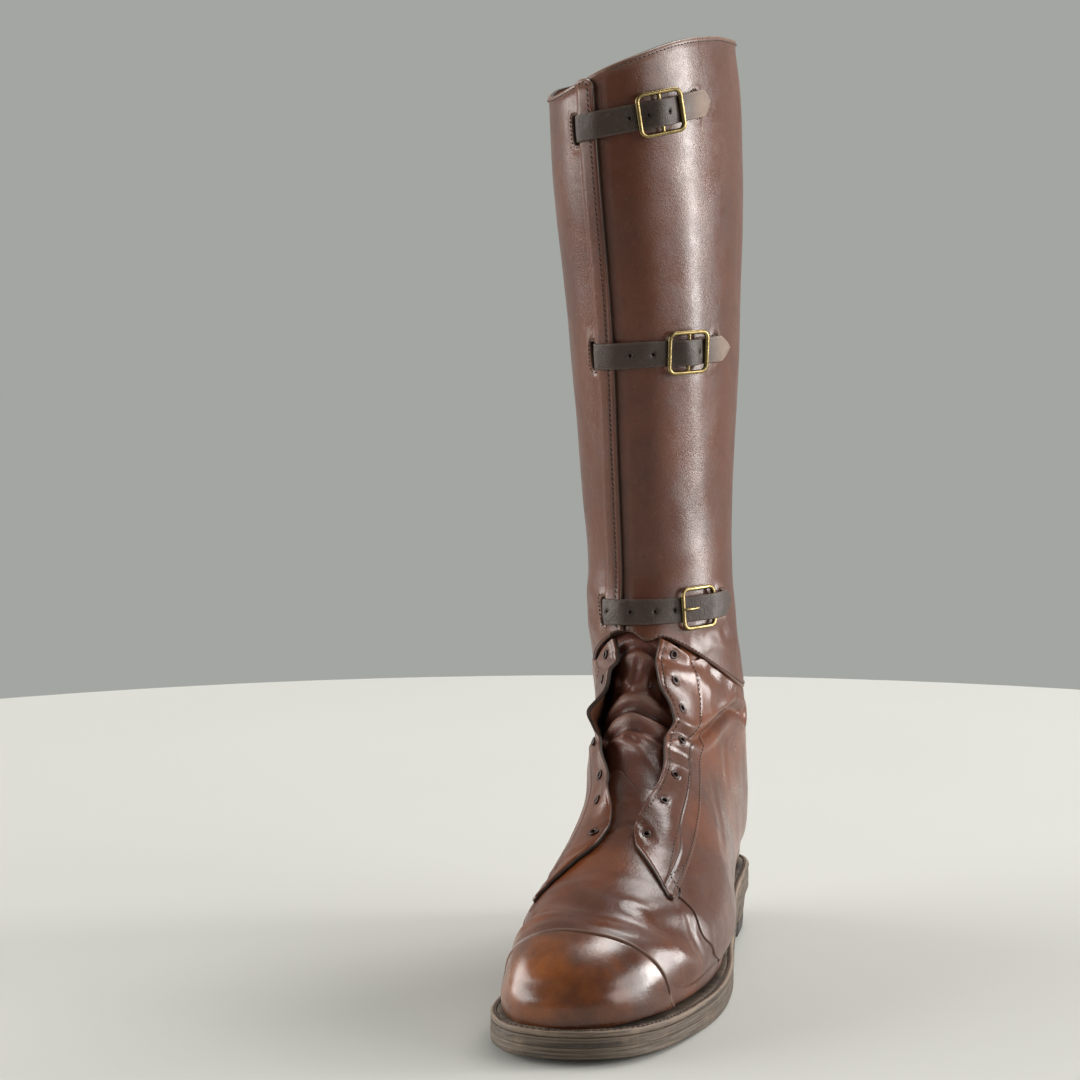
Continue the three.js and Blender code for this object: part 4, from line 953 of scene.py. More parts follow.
def sole_loop(last, inset, count=150):
    """The sole's outline in plan, drawn in by an inset, lateral side first from the toe."""
    keys = np.arange(len(SOLE_OUTLINE))
    share = np.linspace(0, 1, count + 1)
    k = share * (len(SOLE_OUTLINE) - 1)
    sides = []
    for side, column in ((1, 1), (-1, 2)):
        width = np.maximum(spline(keys, SOLE_OUTLINE[:, column], k), 0)
        x = (spline(keys, SOLE_OUTLINE[:, 3], k) + side * width) * last.width
        sides.append(np.stack([x, spline(keys, SOLE_OUTLINE[:, 0], k) * last.length], -1))
    loop = np.concatenate([sides[0], sides[1][1:-1][::-1]])
    steps = np.linalg.norm(np.roll(loop, -1, 0) - loop, axis=1)
    run = np.concatenate([[0], steps.cumsum()])
    even = np.linspace(0, run[-1], 2 * count, endpoint=False)
    closed = np.concatenate([loop, loop[:1]])
    loop = np.stack([np.interp(even, run, closed[:, i]) for i in range(2)], -1)
    for _ in range(3):
        loop = (np.roll(loop, 1, 0) + 2 * loop + np.roll(loop, -1, 0)) / 4
    along = unit(np.roll(loop, -1, 0) - np.roll(loop, 1, 0))
    return loop + np.stack([-along[:, 1], along[:, 0]], -1) * inset


def ring_solid(name, rings, materials, band_material=None, hollow=False, fields=None):
    """A solid through rings of points, capped by strips or closed on itself when hollow."""
    count = len(rings[0])
    points = np.concatenate(rings)
    faces, kinds = [], []
    bands = len(rings) if hollow else len(rings) - 1
    for r in range(bands):
        for i in range(count):
            j = (i + 1) % count
            s = (r + 1) % len(rings)
            faces.append((r * count + i, r * count + j, s * count + j, s * count + i))
            kinds.append(band_material[r] if band_material else 0)
    if not hollow:
        for start, flip in ((0, True), ((len(rings) - 1) * count, False)):
            for i in range(count // 2):
                a, b = start + i, start + i + 1
                c, d = start + (count - i - 1) % count, start + (count - i) % count
                face = [v for n, v in enumerate((a, b, c, d)) if v not in (a, b, c, d)[:n]]
                if len(face) > 2:
                    faces.append(tuple(face[::-1] if flip else face))
                    kinds.append(0)
    turned = outward(points, faces)
    return new_object(name, points, turned, materials, kinds, fields)


def streaky(loop, z, seed, size=1.0):
    """Unevenness of a worn edge: long along the sole, short across it."""
    stretched = np.column_stack([loop * 0.12, z * np.ones(len(loop))])
    fine = np.column_stack([loop * 0.5, z * np.ones(len(loop))])
    return size * (0.7 * waves(stretched, 1.9 * MM, seed) + 0.4 * waves(fine, 1.2 * MM, seed + 1))


def sole_layer(last, name, bottom, thick, inset, material, seed, wear_top=0.2):
    """One layer of the sole, with soft corners, a worn edge and painted shade at its top and bottom rims.
    """
    levels = [(0.9, 0.0), (0.12, 0.0), (0.0, 0.08)]
    levels += [(0.0, share) for share in np.linspace(0.2, 0.8, 9)]
    levels += [(0.0, 0.92), (0.12, 1.0), (2.0, 1.0)]
    rings, wear, painted_shade = [], [], []
    for k, (inner, share) in enumerate(levels):
        z = bottom + thick * share
        plain = sole_loop(last, 0)
        rough = streaky(plain, z, seed, 0.24) * MM * (1 if 1 < k < len(levels) - 2 else 0.3)
        loop = sole_loop(last, inset + inner * MM)
        along = unit(np.roll(loop, -1, 0) - np.roll(loop, 1, 0))
        loop = loop - np.stack([-along[:, 1], along[:, 0]], -1) * rough[:, None]
        height = last.underside(plain[:, 1]) + z
        rings.append(np.column_stack([loop, height]))
        edge = abs(share - 0.5) * 2
        wear.append(np.full(len(loop), wear_top * edge**6))
        # Painted shade on the top and bottom rims, where the layer meets the next one or the floor.
        painted_shade.append(np.full(len(loop), 0.3 * edge**14))
    fields = {"wear": np.concatenate(wear), "painted_shade": np.concatenate(painted_shade)}
    return ring_solid(name, rings, [material], fields=fields)


class BOOT_OT_sole(bpy.types.Operator):
    """Builds the outsole, midsole, welt and insole"""
    bl_idname = "boot.sole"
    bl_label = "Sole"

    def execute(self, context):
        last = Last(context.scene.boot_sizes)
        sizes = last.sizes
        gap = 0.3 * MM
        outsole = sole_layer(last, "outsole_edge", 0, sizes.outsole_thick + 0.28 * MM, 0,
                             finish_of("sole edge leather"), 11)
        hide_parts("outsole")
        midsole = sole_layer(last, "midsole_edge", sizes.outsole_thick + gap, sizes.midsole_thick,
                             0.1 * MM, finish_of("sole edge leather"), 23)
        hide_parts("midsole")
        self.welt(last, sizes.outsole_thick + sizes.midsole_thick + 2 * gap)
        self.insole(last)
        return {"FINISHED"}

    def welt(self, last, bottom):
        """The welt's ring: its top is grooved along the stitches and its edge is worn; painted shade
        darkens the groove and the top that runs in under the upper.
        """
        thick = last.sizes.welt_thick
        plain = sole_loop(last, 0)
        height = last.underside(plain[:, 1])
        steps = np.linalg.norm(np.roll(plain, -1, 0) - plain, axis=1)
        run = np.concatenate([[0], steps.cumsum()[:-1]])
        profile = [(13, 0, 0), (0.5, 0, 0), (0.1, 0.2, 0), (0, 0.5, 0), (0.05, 0.75, 0), (0.35, 0.93, 1),
                   (0.8, 1.0, 1), (1.5, 1.0, 0.5), (1.9, 0.9, -0.6), (2.3, 0.84, -1), (2.8, 0.9, -0.6),
                   (3.2, 1.0, 0), (4.0, 1.02, 0), (5.2, 1.0, 0), (6.5, 0.98, 0), (8.5, 0.96, 0),
                   (13, 0.96, 0)]
        rings, wear, painted_shade = [], [], []
        for k, (inset, share, mark) in enumerate(profile):
            loop = sole_loop(last, inset * MM)
            if 2 <= k <= 5:
                along = unit(np.roll(loop, -1, 0) - np.roll(loop, 1, 0))
                rough = streaky(plain, thick * share, 31, 0.3) * MM
                loop = loop - np.stack([-along[:, 1], along[:, 0]], -1) * rough[:, None]
            z = height + bottom + thick * share
            if k >= 6:
                dents = 0.10 * np.cos(2 * math.pi * run / (3.1 * MM)) * (1.9 < inset < 5)
                z = z + dents * MM + 0.14 * MM * waves(np.column_stack([loop, z]), 7 * MM, 5)
            rings.append(np.column_stack([loop, z]))
            wear.append(np.full(len(loop), max(mark, 0) * 0.5))
            # Painted shade in the stitch groove and on the top under the upper.
            painted_shade.append(np.full(len(loop), 0.55 * smooth(5, 9, inset) if k > 6 else 0.6 * (mark < 0)))
        fields = {"wear": np.concatenate(wear), "painted_shade": np.concatenate(painted_shade)}
        piece = ring_solid("welt_ring", rings, [finish_of("welt leather")], hollow=True, fields=fields)
        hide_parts("welt")
        line = sole_loop(last, 2.35 * MM)
        z = height + bottom + thick * 0.9
        row = np.column_stack([line, z])
        keep = line[:, 1] < 0.10 * last.length
        start = int(np.argmax(~keep))
        row = np.roll(row, -start, 0)[np.roll(keep, -start)]
        up = np.tile([0.0, 0.0, 1.0], (len(row), 1))
        thread = stitches("welt_stitches", [(row, up)], finish_of("welt thread"),
                          3.1 * MM, 2.5 * MM, 0.42 * MM, slant=0.12)

    def insole(self, last):
        """The insole: a leather sheet with a rounded rim, a little dished under the heel."""
        bottom = last.stack + last.sizes.wall + 0.6 * MM
        thick = 2.6 * MM
        rings = []
        for inset, share in ((14, 0.0), (9.6, 0.0), (9.0, 0.3), (9.0, 0.7), (9.5, 0.95), (10.5, 1.0),
                             (16, 0.98), (24, 0.94), (34, 0.9)):
            loop = sole_loop(last, inset * MM)
            z = last.underside(loop[:, 1]) + bottom + thick * share
            z = z + 0.12 * MM * waves(np.column_stack([loop, z]), 22 * MM, 3) * (share > 0.9)
            rings.append(np.column_stack([loop, z]))
        piece = ring_solid("insole_leather", rings, [finish_of("insole leather")])
        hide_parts("insole")


def heel_loop(last, inset, breast):
    """The heel's outline: the sole's own behind a straight breast."""
    loop = sole_loop(last, inset)
    kept = loop[loop[:, 1] > breast]
    angle = (np.arctan2(kept[:, 1] - 0.02, kept[:, 0]) + math.pi / 2 + 2 * math.pi) % (2 * math.pi)
    kept = kept[np.argsort(angle)]
    front = np.linspace(kept[-1, 0], kept[0, 0], 14)[1:-1]
    curve = breast + 1.2 * MM * np.sin(np.linspace(0, math.pi, 14))[1:-1]
    return np.concatenate([kept, np.column_stack([front, curve])])


class BOOT_OT_heel(bpy.types.Operator):
    """Builds the heel's stacked lifts and its rubber top piece"""
    bl_idname = "boot.heel"
    bl_label = "Heel"

    def execute(self, context):
        last = Last(context.scene.boot_sizes)
        breast = -0.075 * last.length
        thick = last.sizes.top_piece_thick
        gap = 0.3 * MM
        self.stack(last, "heel_rubber_piece", breast, lambda y: np.zeros(len(y)),
                   lambda y: np.full(len(y), thick), 3.0, 2.6, 1, finish_of("heel rubber"),
                   "heel_top_piece", "heel_rubber")
        self.stack(last, "heel_lift_stack", breast, lambda y: np.full(len(y), thick + gap),
                   lambda y: last.underside(y) - gap, 2.7, 1.2, last.sizes.heel_lift_count,
                   finish_of("heel leather"), "heel_lifts", "sole_leather")
        return {"FINISHED"}

    def stack(self, last, name, breast, low, high, inset_low, inset_high, layers, material, node, slot):
        """Layers of the heel between two heights, with a groove between each pair and painted shade in the
        grooves and on the top and bottom rims.
        """
        plan = heel_loop(last, 0, breast)
        levels = [(0.9, 0.0)]
        for k in range(layers):
            levels.append((0.5, k / layers + 0.001))
            levels += [(0.0, (k + part) / layers) for part in (0.12, 0.37, 0.63, 0.88)]
            levels.append((0.5, (k + 1) / layers - 0.001))
        levels.append((0.9, 1.0))
        rings, painted_shade = [], []
        middle = np.array([0.01 * last.width, 0.02])
        for inner, share in levels:
            inset = (inset_low + (inset_high - inset_low) * share + inner * 0.7) * MM
            ahead = unit(middle - plan)
            flat = plan + ahead * inset
            flat[:, 1] = np.where(plan[:, 1] < breast + 2 * MM, plan[:, 1] + inner * 0.4 * MM, flat[:, 1])
            z = low(plan[:, 1]) + (high(plan[:, 1]) - low(plan[:, 1])) * share
            rough = streaky(plan, share * 9 * MM, 41, 0.1)[:, None] * MM
            rings.append(np.column_stack([flat + ahead * rough, z]))
            # Painted shade in the grooves between lifts and on the top and bottom rims.
            painted_shade.append(np.full(len(plan), 0.9 * (inner > 0.4)))
        points = np.concatenate(rings)
        count = len(plan)
        faces = [(r * count + i, r * count + (i + 1) % count, (r + 1) * count + (i + 1) % count,
                  (r + 1) * count + i) for r in range(len(rings) - 1) for i in range(count)]
        faces.append(tuple(range(count))[::-1])
        faces.append(tuple((len(rings) - 1) * count + i for i in range(count)))
        fields = {"painted_shade": np.concatenate(painted_shade), "wear": np.zeros(len(points))}
        piece = new_object(name, points, outward(points, faces), [material], fields=fields)
        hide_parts(node)


# The foot's leather

def quarter_edge(last, u):
    """Station of the quarters' front edge over the vamp, from the throat's corner to the sole."""
    reach = np.abs(u) / last.width
    return 4.42 - 0.14 * np.exp(-((reach - 0.52) / 0.1) ** 2) + 0.75 * smooth(0.55, 0.95, reach)


def foot_lift(last, points):
    """The foot's creases and unevenness at places on the skin."""
    return creased(last, points, FOOT_CREASES) + 0.22 * MM * waves(points, 38 * MM, SEED)


def feather(last, points):
    """How far the leather's foot is drawn out in plan to stand on the welt."""
    loop = sole_loop(last, 0)
    along = unit(np.roll(loop, -1, 0) - np.roll(loop, 1, 0))
    inward = np.stack([-along[:, 1], along[:, 0]], -1)
    height = points[..., 2] - last.underside(points[..., 1]) - last.stack
    low = height < 18 * MM
    flat = points[low][:, :2]
    near = np.empty(len(flat), int)
    for start in range(0, len(flat), 4000):
        block = flat[start:start + 4000]
        near[start:start + 4000] = ((block[:, None] - loop[None]) ** 2).sum(-1).argmin(1)
    depth = ((flat - loop[near]) * inward[near]).sum(1)
    stand = 4.2 * MM
    drawn = np.interp(depth, [stand, stand + 10 * MM, stand + 27 * MM],
                      [stand, stand + 0.8 * MM, stand + 27 * MM])
    drawn = np.where(depth < stand, depth, np.where(depth > stand + 27 * MM, depth, drawn))
    share = 1 - smooth(7 * MM, 18 * MM, height[low])
    shift = np.zeros(points.shape)
    moved = np.zeros((len(flat), 3))
    moved[:, :2] = inward[near] * ((drawn - depth) * share)[:, None]
    shift[low] = moved
    return shift


def foot_sheet(last, name, station, turn, lift, thick, material, fields, wrap=False, sewn=False, ease=1.0):
    """A piece of the foot's leather over a grid of stations and turns."""
    plain = last.skin(station, turn)
    normal = last.normal(station, turn)
    relief = foot_lift(last, plain) * ease
    outer = plain + normal * (lift + relief)[..., None]
    shift = feather(last, outer)
    inner = outer - normal * thick + shift
    outer = outer + shift
    materials = [material, finish_of("lining leather"), finish_of("cut edge")]
    piece = sheet(name, outer, inner, materials, None, wrap, fields, sewn)
    return piece


def welt_join_shade(last, plain):
    """Painted shade where the leather meets the welt, fading out over 7 mm above it."""
    above = plain[..., 2] - last.underside(plain[..., 1]) - last.stack
    return 0.75 * (1 - smooth(0, 7 * MM, above))


class BOOT_OT_foot(bpy.types.Operator):
    """Builds the toe cap, vamp and quarters"""
    bl_idname = "boot.foot"
    bl_label = "Foot leather"

    def execute(self, context):
        last = Last(context.scene.boot_sizes)
        cap = self.cap(last)
        vamp = self.vamp(last)
        quarters = self.quarters(last)
        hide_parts("upper")
        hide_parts("upper")
        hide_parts("upper")
        return {"FINISHED"}

    def cap(self, last):
        """The polished toe cap, closed at the toe and rounded at its seam."""
        turn = np.linspace(-1, 1, 150, endpoint=False)[None, :]
        share = spaced(80, 70 * MM)[:, None]
        end = cap_seam(self.reach(last, turn, 2.6))
        station = 0.02 + (end - 0.02) * share
        plain = last.skin(station, turn)
        high = lengths(plain)[3]
        lift = CAP_LIFT - rounding(high, 0.9 * MM)
        wear = 0.15 * np.exp(-high / (1.2 * MM))
        # Painted shade: a dark line along the cap's edge at its seam, and darker low down by the welt.
        line = 0.6 * bell(high, 0.2, 0.35)
        fields = {"wear": wear, "painted_shade": np.maximum(line, welt_join_shade(last, plain))}
        piece = foot_sheet(last, "toe_cap", station, turn, lift, last.sizes.wall * 0.9,
                           finish_of("polished cap leather"), fields, True, True)
        return piece

    def reach(self, last, turn, station):
        """Arc length from the front centre line at a station, for each turn."""
        side = np.where(turn >= 0, 1, -1)
        shares = np.linspace(0, 1, last.side_steps + 1)
        row = int(np.argmin(np.abs(last.rows - station)))
        lateral = np.interp(np.abs(turn), shares, last.girths[1][row])
        medial = np.interp(np.abs(turn), shares, last.girths[-1][row])
        return np.where(side > 0, lateral, medial)

    def vamp(self, last):
        """The vamp: a folded bead behind the cap, and a thinned top edge over the tongue."""
        turn = np.linspace(-1, 1, 190, endpoint=False)[None, :]
        share = spaced(150, 150 * MM, (0.3, 0.7, 1.1, 1.6, 2.2, 3.0))[:, None]
        low = cap_seam(self.reach(last, turn, 2.6)) - 0.012
        u = self.reach(last, turn, 5.0)
        under = quarter_edge(last, u) + 0.4
        inside = 1 - smooth(0.30, 0.44, u / last.width)
        side = np.where(turn >= 0, 1.0, -1.0)
        top = 6.62 + 0.5 * smooth(-0.02, 0.16, -side * u / last.width)
        high = under + (top - under) * inside
        station = low + (high - low) * share
        plain = last.skin(station, turn)
        down, up = lengths(plain)[2:]
        bead = 1.5 * MM * bell(down, 1.3, 0.85)
        sink = 1.5 * MM * (1 - smooth(0, 16 * MM, up)) * inside
        lift = bead - sink - rounding(up, 0.8 * MM) * inside - 0.25 * MM
        wear = 0.60 * bell(down, 1.2, 0.7) + 0.15 * np.exp(-up / MM) * inside
        # Painted shade low down, where the vamp meets the welt.
        fields = {"wear": wear, "painted_shade": welt_join_shade(last, plain)}
        return foot_sheet(last, "vamp", station, turn, lift, last.sizes.wall * 0.85,
                          finish_of("foot leather"), fields, True)

    def quarters(self, last):
        """Both quarters as one sheet round the heel, from one side of the throat to the other."""
        share = spaced(230, 420 * MM)[None, :]
        rows = spaced(150, 130 * MM)[:, None]
        side = np.where(share < 0.5, 1.0, -1.0)
        across = spread(np.abs(1 - 2 * share), rows)
        station = np.broadcast_to(4.4 + 7.0 * rows, across.shape)
        for _ in range(3):
            edge_u = (throat(np.maximum(station, THROAT_LOW), 2) * 0.6
                      + throat(np.maximum(station, THROAT_LOW), 3) * 0.4) * last.width
            edge_u = edge_u + (36 * MM - edge_u) * (1 - smooth(4.5, 5.3, station))
            throat_turn = np.abs(last.turn_of(side * edge_u, station))
            turn_size = 1 - (1 - throat_turn) * across
            u = np.abs(turn_size) * last.half_girth(station, 1)
            low = quarter_edge(last, u)
            turn_wrapped = side * turn_size
            high = shaft_edge(turn_wrapped) + 0.25
            station = low + (high - low) * rows
        turn = np.where(side > 0, turn_size, 2 - turn_size)
        plain = last.skin(station, turn)
        down, up = lengths(plain)[2:]
        lift = 0.55 * MM - rounding(down, 0.7 * MM) - 1.9 * MM * (1 - smooth(3 * MM, 9 * MM, up))
        ease = smooth(3 * MM, 13 * MM, up)
        back = np.abs(turn - 1) * last.half_girth(station, 1)
        ridge = 0.35 * MM * bell(back, 0, 1.6)
        wear = 0.15 * np.exp(-down / (0.8 * MM)) + 0.25 * bell(back, 0, 1.2)
        # Painted shade low down, where the quarters meet the welt.
        fields = {"wear": wear, "painted_shade": welt_join_shade(last, plain)}
        return foot_sheet(last, "quarters", station, turn, lift + ridge, last.sizes.wall,
                          finish_of("foot leather"), fields, ease=ease)


def facing_place(last, side, station, share, lift):
    """A place on a facing: share runs from its free edge to its raised seam."""
    s = np.maximum(station, THROAT_LOW)
    front = throat(s, 1) * last.width
    back = throat(s, 4) * last.width
    stitched = throat(s, 3) * last.width
    run = (station - THROAT_LOW) / (THROAT_HIGH - THROAT_LOW)
    wave = np.sin(math.pi * np.clip(run * 1.12, 0, 1)) * (0.8 + 0.2 * np.cos(9 * run))
    curl = (3.2 if side > 0 else 7.5) * MM
    reach = (back - front) * share / np.maximum(stitched - front, 1e-6)
    ripple = np.sin(2 * math.pi * (station - 6.0) / 1.05) * np.sin(math.pi * np.clip(run, 0, 1))
    curled = curl * np.maximum(0, 1 - reach / 0.6) ** 2 * wave
    curled = curled + (0.6 if side > 0 else 1.3) * MM * ripple * np.maximum(0, 1 - reach / 0.8)
    drop = 0.95 * np.minimum(reach, 1.15) * np.maximum(0, 1 - run * 5)
    u = side * (front + (back - front) * share)
    place = station - drop
    return u, place, lift + curled


class BOOT_OT_facings(bpy.types.Operator):
    """Builds the two curled facings with their punched eyelets"""
    bl_idname = "boot.facings"
    bl_label = "Facings"

    def execute(self, context):
        last = Last(context.scene.boot_sizes)
        for side, name in ((1, "lateral"), (-1, "medial")):
            self.facing(last, side, name)
        return {"FINISHED"}

    def facing(self, last, side, name):
        rows = spaced(170, 125 * MM)[:, None]
        share = spaced(74, 45 * MM, (0.2, 0.5, 0.9, 1.4, 2.0))[None, :]
        reach = side * (0.12 + 0.68 * share) * last.width
        edge_above = shaft_edge(last.turn_of(reach, np.full(share.shape, 11.2))) - 0.05
        top = np.minimum(10.93 + 0.75 * smooth(0.30, 0.55, share), np.maximum(edge_above, 10.93))
        corner = 0.26 * np.maximum(0, 1 - share / 0.16) ** 2
        station = THROAT_LOW + corner + (top - THROAT_LOW - corner) * rows
        gap, thick = 0.8 * MM, 1.8 * MM
        landed = smooth(0.45, 0.9, share)
        u, place, lift = facing_place(last, side, station, share, gap + thick - 0.75 * MM * landed)
        turn = last.turn_of(u, place)
        plain = last.skin(place, turn)
        normal = last.normal(place, turn)
        left, right, down, up = lengths(plain)
        border = np.minimum(np.minimum(left, down), np.where(share < 0.45, up, 1.0))
        relief = foot_lift(last, plain) * smooth(0.0, 0.2, share + 0.1)
        wobble = 1.2 * MM * waves(plain, 24 * MM, 17 + side) * np.maximum(0, 1 - share * 2.2) ** 1.5
        groove = -0.22 * MM * bell(left, 2.6, 0.45)
        line_u = np.abs(u) - throat(np.maximum(place, THROAT_LOW), 3) * last.width
        groove = groove - 0.45 * MM * bell(line_u, 0, 0.7)
        edge = rounding(border, 0.7 * MM) + rounding(right, 1.0 * MM)
        total = lift + relief + wobble + groove - edge
        outer = plain + normal * total[..., None]
        keep = np.ones((outer.shape[0] - 1, outer.shape[1] - 1), bool)
        inner_lift = total - np.where(share < 0.5, thick, thick * 0.8)
        inner = plain + normal * inner_lift[..., None]
        shift = np.zeros_like(outer)
        eyelet_ring_shade = np.zeros(outer.shape[:2])
        rims = []
        for s in EYELET_STATIONS:
            centre, out = self.eyelet(outer, station, share, s)
            d = np.linalg.norm(outer - centre, axis=-1)
            press = -0.35 * MM * bell(d, 2.5, 0.45)
            press += -0.3 * MM * bell(d, 1.1, 0.7)
            outer = outer + normal * press[..., None]
            # Painted shade in the pressed ring round each eyelet.
            eyelet_ring_shade += 0.6 * bell(d, 2.5, 0.5)
            moved, keep = punch(outer, keep, centre, out, round_hole(1.45 * MM))
            shift += moved
            rims.append(self.rim(centre - out * 0.25 * MM, out))
        outer, inner = outer + shift, inner + shift
        wear = 0.12 * np.exp(-left / (0.7 * MM)) + 0.12 * np.exp(-right / (0.9 * MM))
        # Painted shade along the stitched groove and round the eyelets.
        shade = 0.55 * bell(line_u, 0, 0.7) + eyelet_ring_shade
        fields = {"wear": np.clip(wear, 0, 1), "painted_shade": np.clip(shade, 0, 0.8)}
        materials = [finish_of("foot leather"), finish_of("lining leather"), finish_of("cut edge")]
        piece = sheet(f"facing_leather_{name}", outer, inner, materials, keep, False, fields)
        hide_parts(f"facing_{name}")
        points = np.concatenate([p for p, _ in rims])
        faces, start = [], 0
        for more, extra in rims:
            faces += [tuple(v + start for v in f) for f in extra]
            start += len(more)
        rings = new_object(f"eyelet_rims_{name}", points, faces, [finish_of("eyelet lacquer")])

    def rim(self, centre, out):
        """The rolled rim of an eyelet."""
        side = unit(np.cross(out, [0.3, 0.2, 1.0]))
        up = np.cross(out, side)
        a = np.linspace(0, 2 * math.pi, 28, endpoint=False)[:, None]
        path = centre + 1.75 * MM * (np.cos(a) * side + np.sin(a) * up)
        points, faces = sweep(path, np.tile(out, (28, 1)), 0.62 * MM, 0.5 * MM, 10)
        return points, outward(points - centre, faces)

    def eyelet(self, outer, station, share, s):
        """An eyelet's centre on the facing, and the way its hole points."""
        edge, opening = throat(s, 1), throat(s, 2)
        back = throat(s, 4)
        where = 0.62 * (opening - edge) / (back - edge)
        row = int(np.argmin(np.abs(station[:, 8] - s)))
        column = int(np.argmin(np.abs(share[0] - where)))
        centre = outer[row, column]
        across = outer[row, column + 1] - outer[row, column - 1]
        up = outer[row + 1, column] - outer[row - 1, column]
        return centre, unit(np.cross(across, up))


class BOOT_OT_tongue(bpy.types.Operator):
    """Builds the wrinkled tongue"""
    bl_idname = "boot.tongue"
    bl_label = "Tongue"

    def execute(self, context):
        last = Last(context.scene.boot_sizes)
        rows = spaced(190, 170 * MM)[:, None]
        share = spaced(90, 72 * MM)[None, :]
        station = spread(5.0 + 8.6 * rows, share)
        ends = np.minimum(1, np.minimum(0.7 + 1.3 * rows, 0.75 + 1.3 * (1 - rows)))
        u = 36 * MM * ends * (2 * share - 1)
        deeper = smooth(10.45, 11.65, station)
        depth = last.sizes.wall + INNER_GAP + deeper * 2.1 * MM
        turn = last.turn_of(u, station)
        plain = last.skin(station, turn)
        normal = last.normal(station, turn)
        relief = creased(last, plain, TONGUE_CREASES) + 0.45 * MM * waves(plain, 17 * MM, 29)
        relief = relief * (1 - deeper) * (1 - smooth(0.30, 0.36, np.abs(u) / last.width))
        relief = np.minimum(relief, 1.6 * MM)
        left, right, down, up = lengths(plain)
        edge = rounding(np.minimum(np.minimum(left, right), np.minimum(down, up)), 0.7 * MM)
        outer = plain + normal * (relief - depth - edge)[..., None]
        inner = plain + normal * (relief - depth - 1.8 * MM)[..., None]
        # Wear lightens the raised rolls; painted shade darkens the pressed-in creases.
        fields = {"wear": 0.35 * smooth(0.4 * MM, 1.6 * MM, relief),
                  "painted_shade": 0.6 * smooth(0.3 * MM, 2.0 * MM, -relief)}
        materials = [finish_of("tongue leather"), finish_of("lining leather"), finish_of("cut edge")]
        piece = sheet("tongue_leather_sheet", outer, inner, materials, None, False, fields)
        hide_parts("tongue")
        return {"FINISHED"}


# The shaft

def strap_frame(last, strap, u):
    """Directions on the shaft at a strap's place: along it, up the leg and out."""
    z = last.strap_height(strap, u)
    station = last.station_at(np.array([u - MM, u, u + MM]), np.array([z, z, z]))
    low = last.at(np.array([u - MM, u, u + MM]), station, np.zeros(3))
    above = last.station_at(np.array([u]), np.array([z + MM]))
    top = last.at(np.array([u]), above, np.zeros(1))[0]
    across = unit(low[2] - low[0])
    up = unit(top - low[1])
    out = unit(np.cross(across, up))
    return low[1], across, up, out


